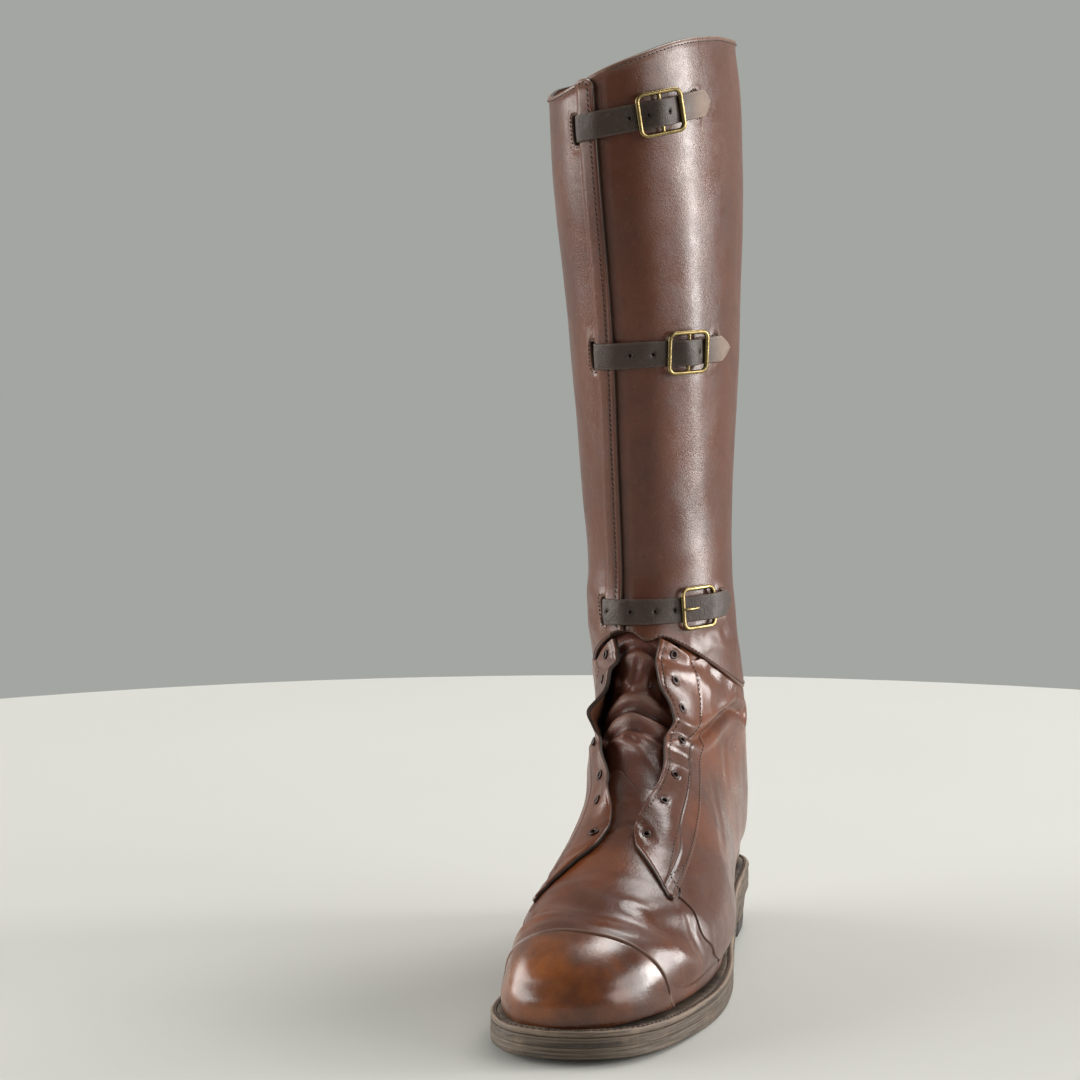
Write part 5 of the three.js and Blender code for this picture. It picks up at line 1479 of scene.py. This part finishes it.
class BOOT_OT_shaft(bpy.types.Operator):
    """Builds the shaft: one sheet that laps over itself at the fly, with slots for the straps"""
    bl_idname = "boot.shaft"
    bl_label = "Shaft"

    def execute(self, context):
        last = Last(context.scene.boot_sizes)
        front = np.linspace(SLIT_U - 2 * MM, 76 * MM, 78)
        rows = spaced(190, 285 * MM)[:, None]
        turns = self.columns(front)
        station = np.broadcast_to(11.5 + 8 * rows, (len(rows), len(turns)))
        for _ in range(2):
            turn = self.turns(last, station, turns)
            low = shaft_edge(turn)
            high = last.rim_station(turn)
            station = low + (high - low) * rows
        turn = self.turns(last, station, turns)
        plain = last.skin(station, turn)
        fly = spread(turns[:, 2][None, :], rows)
        near = smooth(SLIT_U - 4 * MM, SLIT_U + 0.5 * MM, fly)
        lapped = turns[:, 3][None, :] > 0.5
        lift = SHAFT_LIFT + np.where(lapped, near * (FLY_LIFT - SHAFT_LIFT), 0.0)
        lift = lift - np.where(turns[:, 3][None, :] < -0.5, 0.25 * MM, 0.0)
        right = lengths(plain)[1]
        corner = 7 * MM
        ahead = np.clip((corner - right) / corner, 0, 1)
        cut = corner * (1 - np.sqrt(1 - ahead**2)) * lapped
        step = (station[-1:] - station[-2:-1]) / np.maximum(
            np.linalg.norm(plain[-1:] - plain[-2:-1], axis=-1), 1e-9)
        station = station - cut * step * smooth(0.5, 1.0, rows)
        turn = self.turns(last, station, turns)
        plain = last.skin(station, turn)
        normal = last.normal(station, turn)
        right, down, up = lengths(plain)[1:]
        relief = creased(last, plain, SHAFT_CREASES) + 0.35 * MM * waves(plain, 60 * MM, 43)
        relief += 0.10 * MM * waves(plain, 16 * MM, 44)
        border = np.minimum(np.minimum(down, up), right)
        edge = rounding(border, 0.9 * MM)
        groove = -0.25 * MM * bell(right, 2.6, 0.5)
        roll = 0.7 * MM * bell(up, 1.6, 1.6)
        total = lift + relief + groove + roll - edge
        outer = plain + normal * total[..., None]
        thick = last.sizes.wall + np.where(lapped, 0.3 * MM * near, 0)
        inner = plain + normal * (total - thick + 0.6 * edge)[..., None]
        keep = np.ones((outer.shape[0] - 1, outer.shape[1] - 1), bool)
        shift = np.zeros_like(outer)
        rings = np.zeros(outer.shape[:2])
        for strap in STRAPS:
            for u, half in ((SLOT_U, last.sizes.strap_width / 2 + 0.8 * MM),
                            (strap["chape"] * last.width, 6.0 * MM)):
                centre, across, tall, out = strap_frame(last, strap, u)
                moved, keep = punch(outer, keep, centre, out, slot_hole(across, tall, SLOT_HALF, half))
                shift += moved
                flat = outer - centre
                share = slot_hole(across, tall, SLOT_HALF + 1.6 * MM, half + 1.6 * MM)(flat)
                rings += np.exp(-((share - 1) / 0.22) ** 2) * (np.abs(flat @ out) < 6 * MM)
        outer = outer + shift + normal * (0.45 * MM * rings)[..., None]
        inner = inner + shift
        wear = 0.75 * np.exp(-up / (1.6 * MM)) + 0.3 * np.exp(-down / (0.8 * MM)) + 0.3 * rings
        wear = wear + 0.08 * np.exp(-right / (1.0 * MM)) * lapped
        # Painted shade along the stitched groove by the fly's edge.
        painted_shade = 0.4 * bell(right, 2.6, 0.6)
        fields = {"wear": np.clip(wear, 0, 1), "painted_shade": painted_shade}
        materials = [finish_of("saddle leather"), finish_of("lining leather"), finish_of("cut edge")]
        piece = sheet("shaft_leather", outer, inner, materials, keep, False, fields)
        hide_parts("upper")
        return {"FINISHED"}

    def columns(self, front):
        """Columns round the leg: each has its kind, its place and whether it is over the lap.
        The first and last run by arc length from the front, and the rest by turn."""
        rows = []
        for u in front:
            rows.append((0, u, u, -1 if u < FLY_EDGE_U + 4 * MM else 0))
        for share in np.linspace(0, 1, 100)[1:-1]:
            rows.append((1, share, -1.0, 0))
        for u in np.concatenate([np.linspace(-76 * MM, SLIT_U - 6 * MM, 56),
                                 np.linspace(SLIT_U - 5.4 * MM, FLY_EDGE_U - 1.5 * MM, 16),
                                 FLY_EDGE_U + np.array([-1.0, -0.6, -0.3, 0.0]) * MM]):
            rows.append((2, u, u, 1))
        return np.array(rows)

    def turns(self, last, station, columns):
        """The turn of every place of the grid, running on past the back."""
        kind = columns[:, 0]
        turn = np.empty(station.shape)
        for k in (0, 2):
            pick = kind == k
            u = np.broadcast_to(columns[pick, 1][None, :], station[:, pick].shape)
            turn[:, pick] = last.turn_of(u, station[:, pick]) + (2 if k == 2 else 0)
        pick = kind == 1
        first = int(np.sum(kind == 0)) - 1
        last_one = first + int(np.sum(pick)) + 1
        a, b = turn[:, first][:, None], turn[:, last_one][:, None]
        turn[:, pick] = a + (b - a) * columns[pick, 1][None, :]
        return turn


# Straps, chapes and buckles

BAR_HALF = 1.1 * MM
MIDDLE_BAR = 0.9 * MM
CHAPE_WIDTH, CHAPE_THICK = 10.5 * MM, 1.2 * MM
BUCKLE_HALF, BUCKLE_HIGH = 10.5 * MM, 9.6 * MM
STRAP_GAP = 0.45 * MM
PART_GAP = 0.3 * MM


def strap_place(last, strap, u, across, lift):
    """A place on the line of a strap: u along it, across its width, lifted off the skin."""
    z = last.strap_height(strap, u) + across
    station = last.station_at(u, z)
    return last.at(u, station, lift)


def buckle_frame(last, strap):
    """A buckle's middle and directions, standing on a place under each of its side bars."""
    u = strap["buckle"] * last.width
    under = SHAFT_LIFT + STRAP_GAP
    left_lift = under + last.sizes.strap_thick + PART_GAP + BAR_HALF
    over_strap = last.sizes.strap_thick + PART_GAP if strap["middle_bar"] else 0
    right_lift = under + CHAPE_THICK + PART_GAP + over_strap + BAR_HALF
    spots = strap_place(last, strap, np.array([u - BUCKLE_HALF, u + BUCKLE_HALF, u, u]),
                        np.array([0, 0, 6 * MM, -6 * MM]), np.array([left_lift, right_lift, 0, 0]))
    across = unit(spots[1] - spots[0])
    out = unit(np.cross(across, spots[2] - spots[3]))
    up = unit(np.cross(out, across))
    centre = (spots[0] + spots[1]) / 2
    half = np.linalg.norm(spots[1] - spots[0]) / 2
    base, _, _, normal = strap_frame(last, strap, u)
    over = (centre - base) @ normal
    return {"centre": centre, "across": across, "up": up, "out": out, "half": half, "over": over,
            "u": u, "right_lift": right_lift}


def strap_rows(last, strap):
    """The strap's course as arc lengths and lifts, from inside the slot to its tip."""
    frame_at = buckle_frame(last, strap)
    thick = last.sizes.strap_thick
    under = SHAFT_LIFT + STRAP_GAP
    inside = -last.sizes.wall - INNER_GAP - thick
    flap = SHAFT_LIFT + 0.4 * MM + 2.1 * MM + STRAP_GAP
    high = under + CHAPE_THICK + PART_GAP
    tip = strap["tip"] * last.width
    buckle = frame_at["u"]
    course = [(SLOT_U - SLOT_HALF + 0.2 * MM - 8 * MM, inside), (SLOT_U - SLOT_HALF + 0.2 * MM, inside),
              (SLOT_U + SLOT_HALF + 1.4 * MM, flap), (SLIT_U + MM, flap), (FLY_EDGE_U + 0.6 * MM, flap),
              (FLY_EDGE_U + 8 * MM, under), (buckle - BUCKLE_HALF - 1.5 * MM, under),
              (buckle - BUCKLE_HALF + 1.5 * MM, under)]
    over = frame_at["over"] + MIDDLE_BAR + PART_GAP
    over_end = frame_at["right_lift"] + BAR_HALF + PART_GAP
    if strap["middle_bar"]:
        course += [(buckle - 2.2 * MM, over), (buckle + 2.2 * MM, over),
                   (buckle + BUCKLE_HALF - 1.8 * MM, high), (buckle + BUCKLE_HALF + 1.8 * MM, high),
                   (tip - 6 * MM, high), (tip, high)]
    else:
        course += [(buckle + BUCKLE_HALF - 3.5 * MM, over_end), (buckle + BUCKLE_HALF + 3 * MM, over_end),
                   (tip - 6 * MM, high), (tip, under + 0.3 * MM)]
    return np.array(course)


def strip_sheet(last, strap, name, course, width, thick, point, holes=()):
    """A leather strip along a course of arc lengths and lifts; point is its tip's length as a
    share of its width, and holes are arc lengths."""
    run = np.concatenate([[0], np.hypot(np.diff(course[:, 0]), np.diff(course[:, 1])).cumsum()])
    places = run[-1] * spaced(int(run[-1] / (0.75 * MM)), run[-1])
    u = np.interp(places, run, course[:, 0])
    lift = np.interp(places, run, course[:, 1])
    kernel = np.array([1, 2, 3, 4, 3, 2, 1]) / 16
    for values in (u, lift):
        padded = np.concatenate([np.full(3, values[0]), values, np.full(3, values[-1])])
        values[:] = np.convolve(padded, kernel, "valid")
    u[-1] = course[-1, 0]
    across = width * (spaced(19, width, (0.15, 0.4, 0.8, 1.3)) - 0.5)
    ahead = (run[-1] - places) / max(point * width, 1e-6)
    narrow = np.clip(ahead, 0, 1) ** 0.72 if point > 0 else np.ones(len(places))
    narrow = np.maximum(narrow, 0.10)
    grid_u = spread(u[:, None], across[None, :])
    grid_across = narrow[:, None] * across[None, :]
    plain = strap_place(last, strap, grid_u, grid_across, np.zeros_like(grid_across))
    station = last.station_at(grid_u, last.strap_height(strap, grid_u) + grid_across)
    normal = last.normal(station, last.turn_of(grid_u, station))
    left, right, _, up = lengths(plain)
    border = np.minimum(np.minimum(left, right), up)
    edge = rounding(border, 0.55 * MM)
    crown = 0.25 * MM * (1 - (2 * across[None, :] / width) ** 2)
    uneven = 0.12 * MM * waves(plain, 9 * MM, 51)
    groove = -0.12 * MM * bell(border, 1.7, 0.35)
    top = lift[:, None] + thick + crown + uneven + groove - edge
    outer = plain + normal * top[..., None]
    inner = plain + normal * (lift[:, None] + uneven + 0.5 * edge)[..., None]
    keep = np.ones((outer.shape[0] - 1, outer.shape[1] - 1), bool)
    shift = np.zeros_like(outer)
    hole_ring_shade = np.zeros(outer.shape[:2])
    for hole in holes:
        row = int(np.argmin(np.abs(u - hole * last.width)))
        middle = outer.shape[1] // 2
        centre = outer[row, middle]
        out = unit(np.cross(outer[row + 1, middle] - outer[row - 1, middle],
                            outer[row, middle + 1] - outer[row, middle - 1]))
        out = out if out @ normal[row, middle] > 0 else -out
        d = np.linalg.norm(outer - centre, axis=-1)
        outer = outer - normal * (0.25 * MM * bell(d, 0, 1.9))[..., None]
        # Painted shade in the pressed dimple round each hole.
        hole_ring_shade += bell(d, 1.5, 0.6)
        moved, keep = punch(outer, keep, centre, out, round_hole(0.85 * MM))
        shift += moved
    outer, inner = outer + shift, inner + shift
    tip_wear = smooth(0.74, 0.92, places / run[-1])[:, None] * (0.85 if point > 0 else 0.0)
    wear = np.clip(0.22 * np.exp(-border / (0.6 * MM)) + tip_wear * strap["tip_wear"], 0, 1)
    # Painted shade round the holes and along the grooved line near the edges.
    fields = {"wear": wear, "painted_shade": np.clip(0.8 * hole_ring_shade + 0.3 * np.exp(
        -((border - 1.7 * MM) / (0.5 * MM)) ** 2), 0, 0.8)}
    materials = [finish_of("strap leather"), finish_of("lining leather"), finish_of("cut edge")]
    return sheet(name, outer, inner, materials, keep, False, fields)


class BOOT_OT_straps(bpy.types.Operator):
    """Builds the three straps and the chapes that hold their buckles"""
    bl_idname = "boot.straps"
    bl_label = "Straps"

    def execute(self, context):
        last = Last(context.scene.boot_sizes)
        for strap in STRAPS:
            name = strap["name"]
            piece = strip_sheet(last, strap, f"strap_leather_{name}",
                                strap_rows(last, strap), last.sizes.strap_width,
                                last.sizes.strap_thick, strap["point"], strap["holes"])
            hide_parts(f"strap_{name}")
            chape = strip_sheet(last, strap, f"chape_leather_{name}", self.chape(last, strap),
                                CHAPE_WIDTH, CHAPE_THICK, 0)
            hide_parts(f"chape_{name}")
        return {"FINISHED"}

    def chape(self, last, strap):
        """The chape's course, from under the buckle's bar into its own slot."""
        frame_at = buckle_frame(last, strap)
        under = SHAFT_LIFT + STRAP_GAP
        slot = strap["chape"] * last.width
        inside = -last.sizes.wall - INNER_GAP - CHAPE_THICK
        start = frame_at["u"] - MIDDLE_BAR if strap["middle_bar"] else frame_at["u"] + BUCKLE_HALF - 2 * MM
        return np.array([(start, under), (slot - SLOT_HALF + 0.5 * MM, under),
                         (slot + SLOT_HALF + 0.2 * MM, inside), (slot + SLOT_HALF + 8 * MM, inside)])


class BOOT_OT_buckles(bpy.types.Operator):
    """Builds the brass buckle frames with their bars, and the lowest one's prong"""
    bl_idname = "boot.buckles"
    bl_label = "Buckles"

    def execute(self, context):
        last = Last(context.scene.boot_sizes)
        for strap in STRAPS:
            self.buckle(last, strap)
        return {"FINISHED"}

    def buckle(self, last, strap):
        at = buckle_frame(last, strap)
        corner = 3.2 * MM
        path = []
        for cx, cy, start in ((1, 1, 0), (-1, 1, 1), (-1, -1, 2), (1, -1, 3)):
            for k in range(9):
                a = (start + k / 8) * math.pi / 2
                path.append((cx * (at["half"] - corner) + corner * math.cos(a),
                             cy * (BUCKLE_HIGH - corner) + corner * math.sin(a)))
            nx, ny = ((-1, 1), (-1, -1), (1, -1), (1, 1))[start]
            end = path[-1]
            following = (nx * (at["half"] - corner) + corner * math.cos((start + 1) * math.pi / 2),
                         ny * (BUCKLE_HIGH - corner) + corner * math.sin((start + 1) * math.pi / 2))
            for t in (0.2, 0.4, 0.6, 0.8):
                path.append((end[0] + (following[0] - end[0]) * t, end[1] + (following[1] - end[1]) * t))
        path = np.array(path)
        bow = -0.5 * MM * (path[:, 0] / at["half"]) ** 2 + 0.25 * MM
        line = (at["centre"] + path[:, :1] * at["across"] + path[:, 1:] * at["up"]
                + bow[:, None] * at["out"])
        normals = np.tile(at["out"], (len(line), 1))
        thicker = 1 + 0.22 * smooth(0.7, 1.0, path[:, 0] / at["half"])
        points, faces = sweep(line, normals, 1.05 * MM * thicker, 0.9 * MM * thicker)
        faces = outward(points - at["centre"], faces)
        groups = [(points, faces)]
        if strap["middle_bar"]:
            t = np.linspace(-1, 1, 16)[:, None]
            bar = at["centre"] + at["up"] * t * BUCKLE_HIGH
            groups.append(sweep(bar, np.tile(at["out"], (16, 1)), MIDDLE_BAR, MIDDLE_BAR, 12, False))
        else:
            groups.append(self.prong(at))
        points, faces = groups[0]
        for more, extra in groups[1:]:
            extra = outward(more - more.mean(0), extra)
            faces = list(faces) + [tuple(v + len(points) for v in f) for f in extra]
            points = np.concatenate([points, more])
        piece = new_object(f"buckle_frame_{strap['name']}", points, faces, [finish_of("buckle brass")])
        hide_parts(f"buckle_{strap['name']}")

    def prong(self, at):
        """A prong's bent end, lying over the near side bar."""
        marks = np.array([(0.62, -0.6), (0.2, 0.4), (-0.3, 1.1), (-0.72, 1.5), (-0.94, 1.35), (-1.08, 0.5)])
        k = np.arange(len(marks))
        t = np.linspace(0, len(marks) - 1, 26)
        x, lift = spline(k, marks[:, 0], t), spline(k, marks[:, 1], t)
        line = at["centre"] + (x * at["half"])[:, None] * at["across"] + (lift * MM)[:, None] * at["out"]
        taper = np.linspace(0.85, 0.6, 26) * MM
        return sweep(line, np.tile(at["up"], (26, 1)), taper, taper, 10, False)


class BOOT_OT_pull_loops(bpy.types.Operator):
    """Builds the two pull loops of webbing inside the collar"""
    bl_idname = "boot.pull_loops"
    bl_label = "Pull loops"

    def execute(self, context):
        last = Last(context.scene.boot_sizes)
        width, drop, thick, stand = 18 * MM, 52 * MM, 1.2 * MM, 4 * MM
        for side, name in ((1, "lateral"), (-1, "medial")):
            turn = 0.48 * side
            row = int(np.argmin(np.abs(last.rows - 16)))
            girth = np.interp(abs(turn), np.linspace(0, 1, last.side_steps + 1), last.girths[side][row])
            u = side * girth
            rim = last.rim_station(np.array([turn]))
            top = last.skin(rim, np.array([turn]))[0, 2] - 12 * MM
            share = spaced(60, drop)[:, None]
            across = (spaced(26, width, (0.2, 0.6)) - 0.5)[None, :]
            z = spread(top - drop * share, across)
            grid_u = spread(u + width * across, share)
            station = last.station_at(grid_u, z)
            turns = last.turn_of(grid_u, station)
            plain, normal = last.skin(station, turns), last.normal(station, turns)
            depth = last.sizes.wall + INNER_GAP + stand * np.sin(math.pi * share) ** 2
            ribs = spread(0.12 * MM * np.cos(2 * math.pi * across * width / (1.5 * MM)), share)
            front = plain - normal * (depth + thick)[..., None] - normal * ribs[..., None]
            back = plain - normal * depth[..., None]
            fields = {"wear": np.zeros_like(z), "painted_shade": np.zeros_like(z)}
            piece = sheet(f"pull_loop_tape_{name}", front[:, ::-1], back[:, ::-1],
                          [finish_of("pull loop webbing")], None, False, fields)
            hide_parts(f"pull_loop_{name}")
        return {"FINISHED"}


# Stitching

class BOOT_OT_stitching(bpy.types.Operator):
    """Sews the fly, facings, slots, collar and throat corners"""
    bl_idname = "boot.stitching"
    bl_label = "Stitching"

    def execute(self, context):
        last = Last(context.scene.boot_sizes)
        pitch = last.sizes.stitch_pitch
        thread = finish_of("waxed thread")
        fly = self.on_piece("shaft_leather", self.fly_line(last))
        stitches("fly_stitches", [fly], thread, pitch, 1.9 * MM, 0.34 * MM, slant=0.5)
        runs = [self.on_piece("shaft_leather", line) for line in self.collar_lines(last)]
        stitches("collar_stitches", runs, thread, pitch, 1.7 * MM, 0.3 * MM)
        runs = []
        for side, name in ((1, "lateral"), (-1, "medial")):
            for line in self.facing_lines(last, side):
                runs.append(self.on_piece(f"facing_leather_{name}", line))
        stitches("facing_stitches", runs, thread, pitch, 1.6 * MM, 0.28 * MM)
        runs = [self.on_piece("shaft_leather", line) for line in self.slot_lines(last)]
        stitches("slot_stitches", runs, thread, 1.9 * MM, 1.3 * MM, 0.3 * MM, slant=0.3)
        return {"FINISHED"}

    def on_piece(self, name, line):
        """Lays a line on a piece's own surface, with the surface's normals."""
        graph = bpy.context.evaluated_depsgraph_get()
        surface = bpy.data.objects[name].evaluated_get(graph)
        plain, normal = line
        points, outs = [], []
        for p, n in zip(plain, normal):
            start, way = Vector(p + n * 14 * MM), Vector(-n)
            hit, where, out, _ = surface.ray_cast(start, way, distance=26 * MM)
            if hit:
                points.append(where)
                outs.append(out)
        return np.array(points).reshape(-1, 3), np.array(outs).reshape(-1, 3)

    def line_of(self, last, u, station):
        turn = last.turn_of(u, station)
        return last.skin(station, turn), last.normal(station, turn)

    def fly_line(self, last):
        station = np.linspace(11.3, 19.0, 300)
        u = np.full(300, FLY_EDGE_U - 2.6 * MM)
        rim = last.rim_station(last.turn_of(u, np.full(300, 18.5)))
        station = np.minimum(station, rim - 0.12)
        return self.line_of(last, u, station)

    def collar_lines(self, last):
        lines = []
        for start, end in ((0.02, 1.0), (-1.0, -0.06)):
            turn = np.linspace(start, end, 260)
            rim = last.rim_station(turn)
            station = rim - 0.085
            lines.append((last.skin(station, turn), last.normal(station, turn)))
        turn = np.linspace(0.0, 1.0, 200)
        for side in (1, -1):
            station = shaft_edge(side * turn) + 0.07
            lines.append((last.skin(station, side * turn), last.normal(station, side * turn)))
        return lines

    def facing_lines(self, last, side):
        """The rows on a facing: along its free edge, its inner line and its raised seam."""
        s = np.linspace(THROAT_LOW + 0.05, 10.85, 260)
        rows = []
        for kind, inset in ((1, 2.6 * MM), (3, 0.0), (4, -1.7 * MM)):
            front, back = throat(s, 1) * last.width, throat(s, 4) * last.width
            share = (throat(s, kind) * last.width + inset - front) / (back - front)
            u, place, _ = facing_place(last, side, s, share, np.zeros_like(s))
            rows.append(self.line_of(last, u, place))
        if side > 0:
            rows += self.box_lines(last)
        return rows

    def box_lines(self, last):
        """The box of stitches that holds the throat's lower corner."""
        corners = [(0.345, 5.15), (0.30, 4.72), (0.375, 4.50), (0.42, 4.98), (0.345, 5.15)]
        lines = []
        for (u0, s0), (u1, s1) in zip(corners[:-1], corners[1:]):
            t = np.linspace(0, 1, 16)
            lines.append(self.line_of(last, (u0 + (u1 - u0) * t) * last.width, s0 + (s1 - s0) * t))
        return lines

    def slot_lines(self, last):
        """Whipped rings of thread round every slot."""
        lines = []
        for strap in STRAPS:
            for u, half in ((SLOT_U, last.sizes.strap_width / 2 + 1.9 * MM),
                            (strap["chape"] * last.width, 7.1 * MM)):
                centre, across, up, out = strap_frame(last, strap, u)
                a = np.linspace(0, 2 * math.pi, 60)
                wide = np.sign(np.cos(a)) * np.abs(np.cos(a)) ** 0.6 * (SLOT_HALF + 1.3 * MM)
                tall = np.sign(np.sin(a)) * np.abs(np.sin(a)) ** 0.6 * half
                ring = centre + wide[:, None] * across + tall[:, None] * up
                lines.append((ring, np.tile(out, (60, 1))))
        return lines


# The stage

CAMERA_PLACE = (0.27816, -1.4164, 0.3466)
CAMERA_YAW = math.radians(-14.08)
CAMERA_PITCH = math.radians(-5.896)
CAMERA_LENS = 95.55
CAMERA_SENSOR = 36.0


class BOOT_OT_stage(bpy.types.Operator):
    """Sets the pale floor, the soft studio lights and the camera"""
    bl_idname = "boot.stage"
    bl_label = "Stage"

    def execute(self, context):
        scene = context.scene
        self.floor(scene)
        boot = (0.0, -0.05, 0.25)
        self.light("right wide box", (2.8, 0.05, 0.95), boot, 3.0, 1.6, 60, (1.0, 0.97, 0.94))
        self.light("right back box", (2.65, 1.0, 0.55), boot, 0.7, 1.7, 70, (1.0, 0.98, 0.96))
        self.light("left wide box", (-2.7, -0.57, 0.9), boot, 3.4, 1.7, 105, (1.0, 0.98, 0.95))
        self.light("left front box", (-1.9, -2.1, 0.75), boot, 0.45, 0.6, 7, (1.0, 0.98, 0.95))
        self.light("top back box", (0.4, 1.2, 2.6), boot, 1.3, 1.3, 55, (1.0, 0.99, 0.97))
        self.air(scene)
        scene.view_settings.view_transform = "Standard"
        camera = bpy.data.cameras.new("photo camera")
        camera.lens = CAMERA_LENS
        camera.sensor_width = CAMERA_SENSOR
        camera.clip_start, camera.clip_end = 0.05, 50
        holder = bpy.data.objects.new("photo camera", camera)
        scene.collection.objects.link(holder)
        ahead = Vector((math.sin(CAMERA_YAW) * math.cos(CAMERA_PITCH),
                        math.cos(CAMERA_YAW) * math.cos(CAMERA_PITCH), math.sin(CAMERA_PITCH)))
        holder.location = CAMERA_PLACE
        holder.rotation_mode = "QUATERNION"
        holder.rotation_quaternion = ahead.to_track_quat("-Z", "Y")
        scene.camera = holder
        return {"FINISHED"}

    def air(self, scene):
        """The light of the room: a grey wall behind the boot, and a dimmer room in front."""
        world = bpy.data.worlds.new("studio air")
        scene.world = world
        world.use_nodes = True
        tree = world.node_tree
        sky = tree.nodes["Background"]
        sky.inputs["Color"].default_value = (0.97, 1.0, 0.95, 1)
        place = tree.nodes.new("ShaderNodeTexCoord").outputs["Generated"]
        parts = tree.nodes.new("ShaderNodeSeparateXYZ")
        tree.links.new(place, parts.inputs["Vector"])
        strength = ramp(tree, parts.outputs["Y"], -0.6, 0.7, 0.17, 0.38)
        tree.links.new(strength, sky.inputs["Strength"])

    def floor(self, scene):
        """A round pale floor, a little uneven in tone."""
        material, tree, shader, place = nodes_of("pale floor")
        tone = tuple(scene.boot_colours.floor)
        clouds = noise(tree, place, 1.5, 3, 0.5)
        base = mix(tree, ramp(tree, clouds, 0.3, 0.7), tone, [c * 0.96 for c in tone])
        tree.links.new(base, shader.inputs["Base Color"])
        shader.inputs["Roughness"].default_value = 0.85
        reach, count = 0.95, 128
        angle = np.linspace(0, 2 * math.pi, count, endpoint=False)
        rim = [(reach * math.cos(a), reach * math.sin(a) - 0.1, 0) for a in angle]
        mesh = bpy.data.meshes.new("floor")
        mesh.from_pydata(rim, [], [tuple(range(count))])
        mesh.materials.append(material)
        ground = bpy.data.objects.new("floor", mesh)
        ground.location.z = -0.0002
        scene.collection.objects.link(ground)

    def light(self, name, place, target, wide, tall, power, tint):
        lamp = bpy.data.lights.new(name, "AREA")
        lamp.shape = "RECTANGLE"
        lamp.size, lamp.size_y = wide, tall
        lamp.energy = power
        lamp.color = tint
        holder = bpy.data.objects.new(name, lamp)
        bpy.context.scene.collection.objects.link(holder)
        holder.location = place
        holder.rotation_mode = "QUATERNION"
        holder.rotation_quaternion = (Vector(target) - Vector(place)).to_track_quat("-Z", "Y")


class BOOT_PT_panel(bpy.types.Panel):
    """The boot's sizes, colours and pieces"""
    bl_label = "Riding boot"
    bl_idname = "BOOT_PT_panel"
    bl_space_type = "VIEW_3D"
    bl_region_type = "UI"
    bl_category = "Boot"

    def draw(self, context):
        for group in (context.scene.boot_sizes, context.scene.boot_colours):
            for name in group.__annotations__:
                self.layout.prop(group, name)
        for operator in OPERATORS:
            self.layout.operator(operator.bl_idname)


OPERATORS = (BOOT_OT_sole, BOOT_OT_heel, BOOT_OT_foot, BOOT_OT_shaft, BOOT_OT_tongue, BOOT_OT_facings,
             BOOT_OT_straps, BOOT_OT_buckles, BOOT_OT_pull_loops, BOOT_OT_stitching, BOOT_OT_stage)
CLASSES = (BootSizes, BootColours, *OPERATORS, BOOT_PT_panel)


def register():
    """Adds the boot's classes and its settings."""
    for cls in CLASSES:
        bpy.utils.register_class(cls)
    bpy.types.Scene.boot_sizes = PointerProperty(type=BootSizes)
    bpy.types.Scene.boot_colours = PointerProperty(type=BootColours)


def unregister():
    """Takes them away again."""
    del bpy.types.Scene.boot_colours
    del bpy.types.Scene.boot_sizes
    for cls in reversed(CLASSES):
        bpy.utils.unregister_class(cls)


def main():
    """Builds the boot and its stage."""
    register()
    bpy.ops.boot.sole()
    bpy.ops.boot.heel()
    bpy.ops.boot.foot()
    bpy.ops.boot.shaft()
    bpy.ops.boot.tongue()
    bpy.ops.boot.facings()
    bpy.ops.boot.straps()
    bpy.ops.boot.buckles()
    bpy.ops.boot.pull_loops()
    bpy.ops.boot.stitching()
    bpy.ops.boot.stage()
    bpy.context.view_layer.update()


if __name__ == "__main__":
    main()
